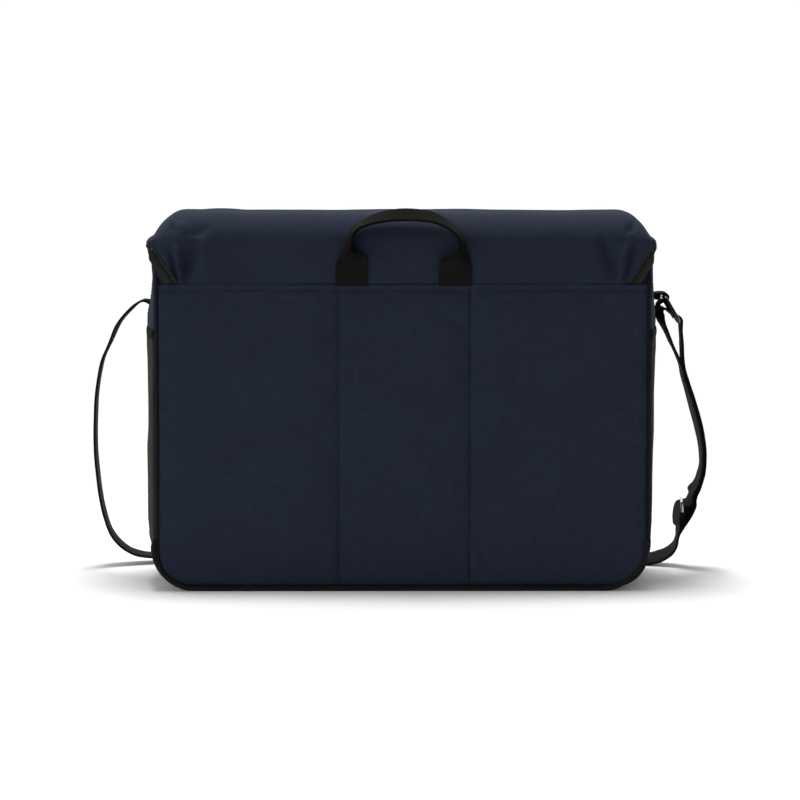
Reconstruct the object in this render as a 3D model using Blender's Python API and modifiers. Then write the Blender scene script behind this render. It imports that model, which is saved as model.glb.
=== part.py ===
"""Messenger-style diaper bag with a zipped lid, carry handle and shoulder strap.

Metres, +Z up.  The origin is the centre of the base's underside.  -Y is the
padded rear panel that lies against the wearer, +Y is the front with the slip
pocket, and the bag is widest along X.
"""
import bpy
import bmesh
import math
from mathutils import Vector, Matrix

# ------------------------------------------------------------------ dimensions
PANEL_HALF_W = 0.1955     # rear and front panels, half width
HALF_DEPTH = 0.0700       # rear and front faces
PANEL_BOTTOM = 0.0076     # lower edge of rear and front panels
SEAM_Z = 0.2456           # top edge of the rear panel
RIM_Z = 0.2745            # top edge of the front panel and gussets
PANEL_CORNER_R = 0.0240   # bottom corners of the panels

GUSSET_IN = 0.1995        # gusset inner face
GUSSET_OUT = 0.2020       # gusset outer face
GUSSET_HALF_D = 0.0660
BODY_HALF_W = 0.2030      # base fabric's outer face
BASE_CORNER_R = 0.0300
BASE_T = 0.0025

PIPING_R = 0.0016
COVER_T = 0.0012          # panel cover fabric
FOAM_T = 0.0060

LID_SEAM_Z = 0.2463       # lid's lower rear edge
LID_RIM_Z = 0.2812        # lid's rim along sides and front
LID_TOP_Z = 0.3020
LID_SEAM_HALF_W = 0.1805  # lid's width where it joins the rear panel
LID_HALF_W = 0.2030
LID_T = 0.0018
HINGE_Y, HINGE_Z = -0.0700, 0.2460

COIL_R = 0.0011
COIL_LOW_Z = 0.2764
COIL_UP_Z = 0.2791

POCKET_OUT = 0.2082       # side pocket's outer face
POCKET_TOP = 0.2030
WEB_T = 0.0016            # webbing thickness
STRAP_W = 0.0280          # shoulder strap width
HANDLE_W = 0.0255
HANDLE_AXIS = (0.0, -0.0746, 0.2480)
STRAP_AXIS = (0.0, 0.0, 0.2322)

SLIDER_X = 0.0090
PULL_Y, PULL_Z = 0.0765, 0.2780

# ------------------------------------------------------------------ scene setup
for old in list(bpy.data.objects):
    bpy.data.objects.remove(old, do_unlink=True)

parts = bpy.data.collections.new("diaper_bag")
cutters = bpy.data.collections.new("cutters")
bpy.context.scene.collection.children.link(parts)
bpy.context.scene.collection.children.link(cutters)


def material(name, rgb, rough, metal=0.0):
    m = bpy.data.materials.new(name)
    m.use_nodes = True
    b = m.node_tree.nodes["Principled BSDF"]
    b.inputs["Base Color"].default_value = (rgb[0], rgb[1], rgb[2], 1.0)
    b.inputs["Roughness"].default_value = rough
    b.inputs["Metallic"].default_value = metal
    return m


NAVY = (0.014, 0.019, 0.032)
BLACK = (0.010, 0.010, 0.010)
GREY = (0.30, 0.31, 0.33)


def own(name):
    """Material of its own for each piece, chosen by the piece's kind."""
    looks = {
        "navy": (NAVY, 0.85, 0.0), "black": (BLACK, 0.80, 0.0),
        "mesh": ((0.013, 0.013, 0.013), 0.90, 0.0), "grey": (GREY, 0.80, 0.0),
        "foam": ((0.22, 0.22, 0.22), 0.95, 0.0), "board": ((0.05, 0.05, 0.05), 0.6, 0.0),
        "zip": ((0.012, 0.012, 0.011), 0.45, 0.0), "metal": ((0.06, 0.06, 0.065), 0.25, 1.0),
        "mat": ((0.16, 0.18, 0.21), 0.5, 0.0),
    }
    kind, piece = name
    rgb, rough, metal = looks[kind]
    return material(piece + "_finish", rgb, rough, metal)


def adopt(ob, kind, home=None):
    (home or parts).objects.link(ob)
    if home is cutters:
        ob.hide_render = True
        ob.display_type = 'WIRE'
    else:
        ob.data.materials.append(own((kind, ob.name)))
    return ob


def empty(name, at):
    """A joint's empty, on the joint's axis."""
    e = bpy.data.objects.new(name, None)
    e.empty_display_size = 0.02
    parts.objects.link(e)
    e.location = at
    return e


def hang(ob, pivot):
    """Parent a piece to its joint's empty without moving it."""
    ob.parent = pivot
    ob.matrix_parent_inverse = Matrix.Translation(-Vector(pivot.location))
    return ob


# ------------------------------------------------------------------ shape helpers
def box(name, lo, hi, kind, bevel=0.0, segs=2, home=None):
    """Axis-aligned box between two corners, with optional rounded edges."""
    size = [h - l for l, h in zip(lo, hi)]
    bm = bmesh.new()
    bmesh.ops.create_cube(bm, size=1.0)
    bmesh.ops.scale(bm, vec=size, verts=bm.verts)
    me = bpy.data.meshes.new(name)
    bm.to_mesh(me)
    bm.free()
    ob = bpy.data.objects.new(name, me)
    ob.location = [(l + h) / 2 for l, h in zip(lo, hi)]
    adopt(ob, kind, home)
    if bevel > 0:
        b = ob.modifiers.new("round", 'BEVEL')
        b.width = bevel
        b.segments = segs
        b.limit_method = 'NONE'
    return ob


def cylinder_x(name, centre, radius, length, kind, segs=16, home=None):
    bm = bmesh.new()
    bmesh.ops.create_cone(bm, cap_ends=True, segments=segs, radius1=radius,
                          radius2=radius, depth=length)
    bmesh.ops.rotate(bm, verts=bm.verts, matrix=Matrix.Rotation(math.pi / 2, 3, 'Y'))
    me = bpy.data.meshes.new(name)
    bm.to_mesh(me)
    bm.free()
    ob = bpy.data.objects.new(name, me)
    ob.location = centre
    return adopt(ob, kind, home)


def boolean(ob, other, operation):
    m = ob.modifiers.new(operation.lower(), 'BOOLEAN')
    m.operation = operation
    m.object = other
    m.solver = 'EXACT'


def plate(name, outline, thick, plane, at, kind):
    """Flat outline given in (X, Z) or (Y, Z), thickened across its plane."""
    cu = bpy.data.curves.new(name, 'CURVE')
    cu.dimensions = '2D'
    cu.fill_mode = 'BOTH'
    cu.extrude = thick / 2
    sp = cu.splines.new('POLY')
    sp.points.add(len(outline) - 1)
    for p, (u, v) in zip(sp.points, outline):
        p.co = (u, v, 0.0, 1.0)
    sp.use_cyclic_u = True
    ob = bpy.data.objects.new(name, cu)
    if plane == 'XZ':
        ob.rotation_euler = (math.pi / 2, 0.0, 0.0)
        ob.location = (0.0, at, 0.0)
    else:
        ob.rotation_euler = (math.pi / 2, 0.0, math.pi / 2)
        ob.location = (at, 0.0, 0.0)
    return adopt(ob, kind)


def arc(cx, cz, r, a0, a1, n):
    return [(cx + r * math.cos(math.radians(a0 + (a1 - a0) * i / n)),
             cz + r * math.sin(math.radians(a0 + (a1 - a0) * i / n))) for i in range(n + 1)]


def round_bottom(x0, x1, z0, z1, r_left, r_right, n=6):
    """Upright rectangle with its two bottom corners rounded."""
    pts = []
    pts += arc(x0 + r_left, z0 + r_left, r_left, 180, 270, n) if r_left else [(x0, z0)]
    pts += arc(x1 - r_right, z0 + r_right, r_right, 270, 360, n) if r_right else [(x1, z0)]
    pts += [(x1, z1), (x0, z1)]
    return pts


def tube(name, pts, radius, kind, cyclic=False):
    cu = bpy.data.curves.new(name, 'CURVE')
    cu.dimensions = '3D'
    cu.bevel_depth = radius
    cu.bevel_resolution = 2
    cu.use_fill_caps = True
    sp = cu.splines.new('POLY')
    sp.points.add(len(pts) - 1)
    for p, c in zip(sp.points, pts):
        p.co = (c[0], c[1], c[2], 1.0)
    sp.use_cyclic_u = cyclic
    return adopt(bpy.data.objects.new(name, cu), kind)


def catmull(ctrl, step):
    """Points about one step apart along a smooth curve through ctrl.

    Every control point may carry extra values after x, y, z, and they are
    carried along in the same way."""
    dim = len(ctrl[0])
    ext = [tuple(2 * a - b for a, b in zip(ctrl[0], ctrl[1]))] + list(ctrl) + \
          [tuple(2 * a - b for a, b in zip(ctrl[-1], ctrl[-2]))]
    fine = []
    for i in range(1, len(ext) - 2):
        p0, p1, p2, p3 = ext[i - 1], ext[i], ext[i + 1], ext[i + 2]
        for k in range(24):
            t = k / 24
            fine.append(tuple(0.5 * ((2 * p1[d]) + (p2[d] - p0[d]) * t +
                              (2 * p0[d] - 5 * p1[d] + 4 * p2[d] - p3[d]) * t * t +
                              (3 * p1[d] - p0[d] - 3 * p2[d] + p3[d]) * t ** 3)
                              for d in range(dim)))
    fine.append(tuple(ctrl[-1]))
    run = [0.0]
    for a, b in zip(fine, fine[1:]):
        run.append(run[-1] + math.dist(a[:3], b[:3]))
    n = max(2, round(run[-1] / step))
    out, j = [], 0
    for i in range(n + 1):
        s = run[-1] * i / n
        while j < len(run) - 2 and run[j + 1] < s:
            j += 1
        span = run[j + 1] - run[j]
        f = (s - run[j]) / span if span > 0 else 0.0
        out.append(tuple(a + (b - a) * f for a, b in zip(fine[j], fine[j + 1])))
    return out


def ribbon(name, rows, kind, across=(0.0, 1.0, 0.0)):
    """Webbing extruded step by step along a route.

    rows are (x, y, z, twist in degrees, width, thickness).  The width lies as
    near as it can to `across`, turned about the route by the twist."""
    across = Vector(across)
    pos = [Vector(r[:3]) for r in rows]
    quads = []
    for i, r in enumerate(rows):
        t = (pos[min(i + 1, len(pos) - 1)] - pos[max(i - 1, 0)]).normalized()
        w = (across - across.dot(t) * t).normalized()
        w = Matrix.Rotation(math.radians(r[3]), 3, t) @ w
        n = t.cross(w).normalized()
        a, b = w * r[4] / 2, n * r[5] / 2
        quads.append([pos[i] - a - b, pos[i] + a - b, pos[i] + a + b, pos[i] - a + b])
    bm = bmesh.new()
    face = bm.faces.new([bm.verts.new(c) for c in quads[0]])
    for k, q in enumerate(quads[1:]):
        last = face
        grown = bmesh.ops.extrude_face_region(bm, geom=[face])
        face = [g for g in grown["geom"] if isinstance(g, bmesh.types.BMFace)][0]
        if k > 0 and last.is_valid:
            bm.faces.remove(last)
        for v in face.verts:
            corner = min(range(4), key=lambda j: (v.co - quads[k][j]).length)
            v.co = q[corner]
    bmesh.ops.recalc_face_normals(bm, faces=bm.faces)
    me = bpy.data.meshes.new(name)
    bm.to_mesh(me)
    bm.free()
    return adopt(bpy.data.objects.new(name, me), kind)


def tray(name, lo, hi, cav_lo, cav_hi, kind):
    """Box with a cavity cut out of it; the cavity runs out through any side it passes."""
    ob = box(name, lo, hi, kind)
    cut = box(name + "_cavity", cav_lo, cav_hi, kind, home=cutters)
    boolean(ob, cut, 'DIFFERENCE')
    return ob


# ------------------------------------------------------------------ rear and front
def panel(name, y_out, z_top, kind="navy"):
    s = 1 if y_out > 0 else -1
    return plate(name, round_bottom(-PANEL_HALF_W, PANEL_HALF_W, PANEL_BOTTOM, z_top,
                                    PANEL_CORNER_R, PANEL_CORNER_R),
                 COVER_T, 'XZ', y_out - s * COVER_T / 2, kind)


panel("back_panel", -HALF_DEPTH, SEAM_Z)
panel("front_panel", HALF_DEPTH, RIM_Z)

FOAM_Y = HALF_DEPTH - COVER_T - 0.0004 - FOAM_T / 2
QUILT = (-0.0510, 0.0540)      # the two vertical quilting seams
plate("back_pad_left", round_bottom(-0.1925, QUILT[0] - 0.0015, 0.0110, 0.2430, 0.0220, 0.0),
      FOAM_T, 'XZ', -FOAM_Y, "foam")
plate("back_pad_center", round_bottom(QUILT[0] + 0.0015, QUILT[1] - 0.0015, 0.0110, 0.2430, 0.0, 0.0),
      FOAM_T, 'XZ', -FOAM_Y, "foam")
plate("back_pad_right", round_bottom(QUILT[1] + 0.0015, 0.1925, 0.0110, 0.2430, 0.0, 0.0220),
      FOAM_T, 'XZ', -FOAM_Y, "foam")
plate("front_pad", round_bottom(-0.1925, 0.1925, 0.0110, 0.2710, 0.0220, 0.0220),
      FOAM_T, 'XZ', FOAM_Y, "foam")


def piping_route(y, z_top):
    x, r, z0 = PANEL_HALF_W + 0.0020, PANEL_CORNER_R + 0.0020, PANEL_BOTTOM - 0.0020
    pts = [(-x, y, z_top), (-x, y, (z_top + z0 + r) / 2)]
    pts += [(u, y, v) for u, v in arc(-x + r, z0 + r, r, 180, 270, 8)]
    pts += [(0.0, y, z0)]
    pts += [(u, y, v) for u, v in arc(x - r, z0 + r, r, 270, 360, 8)]
    pts += [(x, y, (z_top + z0 + r) / 2), (x, y, z_top)]
    return pts


tube("back_piping", piping_route(-HALF_DEPTH + 0.0002, 0.2440), PIPING_R, "black")
tube("front_piping", piping_route(HALF_DEPTH - 0.0002, 0.2730), PIPING_R, "black")

# ------------------------------------------------------------------ gussets and base
for side, s in (("left", -1), ("right", 1)):
    xs = sorted((s * GUSSET_IN, s * GUSSET_OUT))
    box("gusset_" + side, (xs[0], -GUSSET_HALF_D, 0.0345), (xs[1], GUSSET_HALF_D, RIM_Z), "navy")

r_in = BASE_CORNER_R - BASE_T
cx = BODY_HALF_W - BASE_CORNER_R
outer = [(-BODY_HALF_W, 0.0340)] + arc(-cx, BASE_CORNER_R, BASE_CORNER_R, 180, 270, 8) + \
        arc(cx, BASE_CORNER_R, BASE_CORNER_R, 270, 360, 8) + [(BODY_HALF_W, 0.0340)]
inner = [(BODY_HALF_W - BASE_T, 0.0340)] + arc(cx, BASE_CORNER_R, r_in, 360, 270, 8) + \
        arc(-cx, BASE_CORNER_R, r_in, 270, 180, 8) + [(-BODY_HALF_W + BASE_T, 0.0340)]
plate("base_panel", outer + inner, 2 * (GUSSET_HALF_D + 0.0005), 'XZ', 0.0, "black")
box("base_board", (-0.1650, -0.0600, BASE_T + 0.0005), (0.1650, 0.0600, BASE_T + 0.0030), "board")

# corner gores: the fabric between rear panel, gusset and zip at the two rear top corners
for side, s in (("left", -1), ("right", 1)):
    tri = [(s * 0.1878, 0.2466), (s * 0.1993, 0.2466), (s * 0.1993, 0.2640)]
    if s < 0:
        tri.reverse()
    plate("corner_gore_" + side, tri, 0.0014, 'XZ', -0.0690, "navy")

# ------------------------------------------------------------------ lining and inside
tub = plate("lining_tub_block", round_bottom(-0.1985, 0.1985, 0.0062, RIM_Z, 0.0265, 0.0265),
            0.1236, 'XZ', 0.0, "grey")
core = plate("lining_tub_core", round_bottom(-0.1975, 0.1975, 0.0072, RIM_Z + 0.01, 0.0255, 0.0255),
             0.1216, 'XZ', 0.0, "grey")


def to_mesh(curve_ob, name, kind, home=None):
    """Turn a curve piece into a mesh with its caps welded on."""
    bpy.context.view_layer.update()
    deps = bpy.context.evaluated_depsgraph_get()
    me = bpy.data.meshes.new_from_object(curve_ob.evaluated_get(deps))
    bm = bmesh.new()
    bm.from_mesh(me)
    bmesh.ops.remove_doubles(bm, verts=bm.verts, dist=0.00001)
    bmesh.ops.recalc_face_normals(bm, faces=bm.faces)
    bm.to_mesh(me)
    bm.free()
    me.name = name
    me.materials.clear()
    ob = bpy.data.objects.new(name, me)
    ob.matrix_world = curve_ob.matrix_world.copy()
    bpy.data.objects.remove(curve_ob, do_unlink=True)
    return adopt(ob, kind, home)


tub = to_mesh(tub, "lining_tub", "grey")
core = to_mesh(core, "lining_tub_cavity", "grey", cutters)
boolean(tub, core, 'DIFFERENCE')
# the lining's rear wall stops at the seam, below the lid
boolean(tub, box("lining_rear_cut", (-0.2500, -0.0700, 0.2440), (0.2500, -0.0604, 0.3000), "grey",
                 home=cutters), 'DIFFERENCE')

tray("mat_sleeve", (-0.1500, -0.0605, 0.0120), (0.1500, -0.0465, 0.1900),
     (-0.1490, -0.0620, 0.0130), (0.1490, -0.0475, 0.2000), "grey")
box("changing_mat", (-0.1420, -0.0598, 0.0140), (0.1420, -0.0482, 0.2250), "mat",
    bevel=0.0040, segs=2)

# elasticated inside pocket on the front wall: two cells side by side
pocket = box("inner_pocket", (-0.1600, 0.0380, 0.0120), (0.1600, 0.0605, 0.1400), "grey")
for side, s in (("left", -1), ("right", 1)):
    xs = sorted((s * 0.0006, s * 0.1590))
    boolean(pocket, box("inner_pocket_cell_" + side, (xs[0], 0.0390, 0.0130), (xs[1], 0.0620, 0.1500),
                        "grey", home=cutters), 'DIFFERENCE')
box("inner_pocket_elastic", (-0.1600, 0.0374, 0.1404), (0.1600, 0.0394, 0.1480), "black")

# ------------------------------------------------------------------ side pockets
for side, s in (("left", -1), ("right", 1)):
    lo_x, hi_x = sorted((s * (GUSSET_OUT + 0.0004), s * POCKET_OUT))
    c_lo, c_hi = sorted((s * (GUSSET_OUT - 0.001), s * (POCKET_OUT - 0.0010)))
    tray("side_pocket_" + side, (lo_x, -0.0640, 0.0360), (hi_x, 0.0640, POCKET_TOP),
         (c_lo, -0.0630, 0.0370), (c_hi, 0.0630, POCKET_TOP + 0.01), "mesh")
    e_lo, e_hi = sorted((s * (POCKET_OUT - 0.0012), s * (POCKET_OUT + 0.0004)))
    box("side_pocket_binding_" + side, (e_lo, -0.0635, POCKET_TOP + 0.0004),
        (e_hi, 0.0635, POCKET_TOP + 0.0064), "black")

# ------------------------------------------------------------------ front slip pocket
tray("front_pocket", (-0.1650, HALF_DEPTH + 0.0004, 0.0300), (0.1650, 0.0780, 0.1850),
     (-0.1640, HALF_DEPTH - 0.001, 0.0310), (0.1640, 0.0770, 0.1950), "navy")
box("front_pocket_binding", (-0.1650, 0.0766, 0.1854), (0.1650, 0.0784, 0.1914), "black")


# ------------------------------------------------------------------ zip
def zip_route(z, gap, z_start):
    """Rear seam, up the diagonal, round the side, across the front, and back."""
    slope = Vector((LID_HALF_W - LID_SEAM_HALF_W, LID_RIM_Z - LID_SEAM_Z)).normalized()
    out = Vector((slope.y, -slope.x))
    half = []
    foot = Vector((LID_SEAM_HALF_W, LID_SEAM_Z)) + out * gap
    length = (LID_RIM_Z - LID_SEAM_Z) / slope.y
    t0 = (z_start - foot.y) / slope.y
    for k in range(4):
        p = foot + slope * (t0 + (0.87 * length - t0) * k / 3)
        half.append((p.x, -0.0695, p.y))
    half.append((0.2033, -0.0670, z - 0.0012))
    half.append((0.2025, -0.0610, z - 0.0002))
    half.append((0.2015, -0.0520, z))
    half.append((0.2015, 0.0000, z))
    half.append((0.2015, 0.0520, z))
    r = 0.0140
    half += [(0.2015 - r + u, 0.0685 - r + v, z) for u, v in arc(0.0, 0.0, r, 0, 90, 6)]
    half.append((0.0900, 0.0685, z))
    mirrored = [(-x, y, zz) for x, y, zz in reversed(half)]
    return half + [(0.0, 0.0685, z)] + mirrored


tube("zip_tape_lower", zip_route(COIL_LOW_Z, 0.0041, 0.2482), COIL_R, "zip")

lid_pivot = empty("lid_pivot", (0.0, HINGE_Y, HINGE_Z))
hang(tube("zip_tape_upper", zip_route(COIL_UP_Z, 0.0014, 0.2500), COIL_R, "zip"), lid_pivot)


# ------------------------------------------------------------------ lid
def lid_sheet(name, inset, thick, kind):
    """Low dome with a straight rear wall that narrows towards the seam."""
    rim = LID_RIM_Z + (0.0008 if inset else 0.0)
    seam = LID_SEAM_Z + (0.0006 if inset else 0.0)
    top = LID_TOP_Z - inset
    half = LID_HALF_W - inset
    y0, y1 = -HALF_DEPTH + inset, HALF_DEPTH - inset
    rear_c, front_c = -0.0300, 0.0400
    prof = [(y0, seam + (rim - seam) * k / 3) for k in range(3)]
    n_low = len(prof)
    prof += [(rear_c + (y0 - rear_c) * math.cos(a), rim + (top - rim) * math.sin(a))
             for a in [math.pi / 2 * k / 6 for k in range(7)]]
    prof += [(rear_c + (front_c - rear_c) * k / 3, top + 0.0006 * math.sin(math.pi * k / 3))
             for k in (1, 2)]
    prof += [(front_c + (y1 - front_c) * math.sin(a), rim + (top - rim) * math.cos(a))
             for a in [math.pi / 2 * k / 5 for k in range(6)]]
    end_r = 0.0300 - inset
    xs = [-half + end_r * (1 - math.cos(math.pi / 2 * k / 5)) for k in range(6)]
    mid = [-(half - end_r) + 2 * (half - end_r) * k / 6 for k in range(1, 6)]
    cols = xs + mid + [-x for x in reversed(xs)]
    bm = bmesh.new()
    bmesh.ops.create_grid(bm, x_segments=len(cols) - 1, y_segments=len(prof) - 1, size=1.0)
    for v in bm.verts:
        i = round((v.co.x + 1) / 2 * (len(cols) - 1))
        j = round((v.co.y + 1) / 2 * (len(prof) - 1))
        x, (y, z) = cols[i], prof[j]
        if j < n_low:
            f = (z - seam) / (rim - seam)
            w = (LID_SEAM_HALF_W - inset) + (LID_HALF_W - LID_SEAM_HALF_W) * f
            x *= w / half
        else:
            over = max(0.0, abs(x) - (half - end_r)) / end_r
            g = math.sqrt(max(0.0, 1.0 - over * over))
            z = rim + (z - rim) * g
        v.co = (x, y, z)
    bmesh.ops.recalc_face_normals(bm, faces=bm.faces)
    if sum(f.normal.z for f in bm.faces) < 0:
        bmesh.ops.reverse_faces(bm, faces=bm.faces)
    me = bpy.data.meshes.new(name)
    bm.to_mesh(me)
    bm.free()
    me.shade_smooth()
    ob = adopt(bpy.data.objects.new(name, me), kind)
    sol = ob.modifiers.new("cloth", 'SOLIDIFY')
    sol.thickness = thick
    sol.offset = -1.0
    sol.use_even_offset = True
    return ob


hang(lid_sheet("lid_shell", 0.0, LID_T, "navy"), lid_pivot)
hang(lid_sheet("lid_lining", 0.0034, 0.0008, "grey"), lid_pivot)

# ------------------------------------------------------------------ carry handle
HANDLE_SIDE = [(-0.0407, 0.2482, HANDLE_W, WEB_T), (-0.0409, 0.2580, HANDLE_W, WEB_T),
               (-0.0410, 0.2660, HANDLE_W, WEB_T), (-0.0425, 0.2740, 0.0180, 0.0024),
               (-0.0430, 0.2800, 0.0110, 0.0040), (-0.0400, 0.2870, 0.0095, 0.0046),
               (-0.0330, 0.2935, 0.0092, 0.0046), (-0.0220, 0.2985, 0.0090, 0.0046),
               (-0.0100, 0.3012, 0.0090, 0.0046)]
HANDLE_MID = 0.0012
ctrl = [(x, -0.0733, z, 0.0, w, t) for x, z, w, t in HANDLE_SIDE]
ctrl += [(HANDLE_MID, -0.0733, 0.3020, 0.0, 0.0090, 0.0046)]
ctrl += [(2 * HANDLE_MID - x, y, z, 0.0, w, t) for x, y, z, _, w, t in reversed(ctrl[:-1])]


handle_pivot = empty("handle_pivot", HANDLE_AXIS)
# the webbing's width lies in the handle's own plane, so it is swept with Y as its thickness
rows = [(x, y, z, 90.0, w, t) for x, y, z, _, w, t in catmull(ctrl, 0.0062)]
hang(ribbon("handle_webbing", rows, "black"), handle_pivot)

# ------------------------------------------------------------------ zip sliders
for side, s in (("left", -1), ("right", 1)):
    x = s * SLIDER_X
    slide = empty("slider_%s_home" % side, (x, PULL_Y, PULL_Z))
    body = box("zip_slider_" + side, (x - 0.0045, 0.0712, 0.2735), (x + 0.0045, 0.0742, 0.2825),
               "metal", bevel=0.0008, segs=2)
    for k, e in enumerate((-1, 1)):
        lug = box("slider_lug_%s_%d" % (side, k), (x + e * 0.0037 - 0.0007, 0.0735, 0.2764),
                  (x + e * 0.0037 + 0.0007, 0.0778, 0.2796), "metal", home=cutters)
        boolean(body, lug, 'UNION')
    pin = cylinder_x("slider_pin_" + side, (x, PULL_Y, PULL_Z), 0.0007, 0.0070, "metal",
                     segs=10, home=cutters)
    boolean(body, pin, 'UNION')
    hang(body, slide)
    pull = box("zip_puller_" + side, (x - 0.0026, PULL_Y - 0.0006, 0.2450),
               (x + 0.0026, PULL_Y + 0.0006, PULL_Z - 0.0012), "metal")
    eye = cylinder_x("puller_eye_" + side, (x, PULL_Y, PULL_Z), 0.0016, 0.0050, "metal",
                     segs=16, home=cutters)
    bore = cylinder_x("puller_bore_" + side, (x, PULL_Y, PULL_Z), 0.0010, 0.0200, "metal",
                      segs=16, home=cutters)
    boolean(pull, eye, 'UNION')
    boolean(pull, bore, 'DIFFERENCE')
    hang(pull, slide)

# ------------------------------------------------------------------ shoulder strap
for side, s in (("left", -1), ("right", 1)):
    xs = sorted((s * (GUSSET_OUT + 0.0003), s * (GUSSET_OUT + 0.0023)))
    box("strap_patch_" + side, (xs[0], -0.0170, 0.2170), (xs[1], 0.0170, 0.2474), "black")

strap_pivot = empty("strap_pivot", STRAP_AXIS)

# left end, along the floor in front of the bag, and up to the adjuster on the right
# (x, y, z, twist)
STRAP_ROUTE = [
    (-0.2056, 0.0000, 0.2274, 0), (-0.2092, 0.0000, 0.2290, 0), (-0.2135, 0.0000, 0.2280, 0),
    (-0.2190, 0.0002, 0.2250, 0), (-0.2270, 0.0030, 0.2172, 0), (-0.2338, 0.0085, 0.2078, 0),
    (-0.2401, 0.0155, 0.1939, 0), (-0.2460, 0.0232, 0.1794, 0), (-0.2500, 0.0310, 0.1640, 0),
    (-0.2527, 0.0380, 0.1476, 0), (-0.2541, 0.0450, 0.1312, 0), (-0.2550, 0.0520, 0.1155, 0),
    (-0.2552, 0.0590, 0.0980, 0), (-0.2542, 0.0670, 0.0787, 0), (-0.2526, 0.0740, 0.0611, 0),
    (-0.2499, 0.0810, 0.0450, 0), (-0.2454, 0.0870, 0.0299, 0), (-0.2383, 0.0930, 0.0189, 0),
    (-0.2293, 0.0980, 0.0114, 0), (-0.2195, 0.1030, 0.0075, 0), (-0.2080, 0.1065, 0.0056, 0),
    (-0.1800, 0.1090, 0.0026, 0), (-0.1400, 0.1100, 0.0016, 0), (-0.0500, 0.1110, 0.0014, 0),
    (0.0500, 0.1110, 0.0014, 0), (0.1400, 0.1090, 0.0016, 0), (0.1850, 0.1050, 0.0022, -2),
    (0.2070, 0.1000, 0.0036, -7), (0.2172, 0.0960, 0.0052, -9), (0.2253, 0.0910, 0.0104, -8),
    (0.2300, 0.0850, 0.0198, -4), (0.2316, 0.0800, 0.0297, 0), (0.2332, 0.0775, 0.0345, 4)]
rows = [(x, y, z, tw, STRAP_W, WEB_T) for x, y, z, tw in catmull(STRAP_ROUTE, 0.0120)]
hang(ribbon("shoulder_strap", rows, "black"), strap_pivot)

# webbing tab on the right, folded over the ring's upper bar
RING_TOP = Vector((0.2135, 0.0, 0.2322))
RING_LOW = Vector((0.2245, 0.0, 0.2132))
RING_R = 0.0018
LOOP_R = RING_R + 0.0003 + WEB_T / 2
tab = [(0.2050, 0.0, RING_TOP.z + LOOP_R), (0.2092, 0.0, RING_TOP.z + LOOP_R)]
tab += [(RING_TOP.x + u, 0.0, RING_TOP.z + v) for u, v in arc(0, 0, LOOP_R, 90, -90, 8)]
tab += [(0.2092, 0.0, RING_TOP.z - LOOP_R), (0.2050, 0.0, RING_TOP.z - LOOP_R)]
hang(ribbon("strap_tab_right", [(x, y, z, 0, STRAP_W, WEB_T) for x, y, z in tab], "black"), strap_pivot)

# rectangular ring, its long bars along Y
half_w = 0.0188
down = (RING_LOW - RING_TOP)
drop = down.length
down.normalize()
cr = 0.0035
flat = []
for cu_, cv_, a0 in ((half_w - cr, drop - cr, 0), (-half_w + cr, drop - cr, 90),
                     (-half_w + cr, cr, 180), (half_w - cr, cr, 270)):
    flat += [(cu_ + cr * math.cos(math.radians(a0 + 90 * k / 4)),
              cv_ + cr * math.sin(math.radians(a0 + 90 * k / 4))) for k in range(5)]
ring_pts = [RING_TOP + Vector((0, 1, 0)) * u + down * v for u, v in flat]
hang(tube("strap_ring_right", ring_pts, RING_R, "metal", cyclic=True), strap_pivot)

# doubled stretch between ring and adjuster, folded over the ring's lower bar
DOUBLE = [(0.2302, 0.0175, 0.1740), (0.2325, 0.0215, 0.1636), (0.2372, 0.0280, 0.1491),
          (0.2422, 0.0355, 0.1328), (0.2466, 0.0430, 0.1172), (0.2501, 0.0500, 0.1015),
          (0.2514, 0.0555, 0.0894), (0.2500, 0.0620, 0.0737), (0.2460, 0.0670, 0.0620),
          (0.2425, 0.0705, 0.0545), (0.2393, 0.0732, 0.0480)]
TWIST = [0, 0, 0, 0, 0, 0, 2, 6, 12, 14, 14]
SPREAD = [0.0010] * 8 + [0.0016, 0.0024, 0.0026]


def strand(sign):
    out = []
    pos = [Vector(p) for p in DOUBLE]
    for i, p in enumerate(pos):
        t = (pos[min(i + 1, len(pos) - 1)] - pos[max(i - 1, 0)]).normalized()
        w = Vector((0, 1, 0))
        w = (w - w.dot(t) * t).normalized()
        w = Matrix.Rotation(math.radians(TWIST[i]), 3, t) @ w
        n = t.cross(w).normalized()
        if n.x < 0:
            n = -n
        q = p + n * sign * SPREAD[i]
        out.append((q.x, q.y, q.z, TWIST[i]))
    return out


outer_s, inner_s = strand(1), strand(-1)
loop = [(x, y, z, -tw) for x, y, z, tw in reversed(outer_s)]
loop += [(0.2297, 0.0130, 0.1850, 0), (0.2288, 0.0075, 0.1960, 0), (0.2279, 0.0030, 0.2060, 0)]
loop += [(RING_LOW.x + u, 0.0010, RING_LOW.z + v, 0) for u, v in arc(0, 0, LOOP_R + 0.0002, 0, 110, 5)]
loop += [(0.2190, 0.0010, 0.2148, 0), (0.2142, 0.0012, 0.2135, 0), (0.2122, 0.0025, 0.2098, 0),
         (0.2138, 0.0050, 0.2040, 0), (0.2185, 0.0080, 0.1950, 0), (0.2240, 0.0120, 0.1860, 0)]
loop += inner_s
fine = catmull(loop, 0.0015)
kept = [r for i, r in enumerate(fine) if r[2] > 0.2000 or i % 4 == 0 or i == len(fine) - 1]
hang(ribbon("strap_loop", [(x, y, z, tw, STRAP_W, WEB_T) for x, y, z, tw in kept], "black"), strap_pivot)

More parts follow.
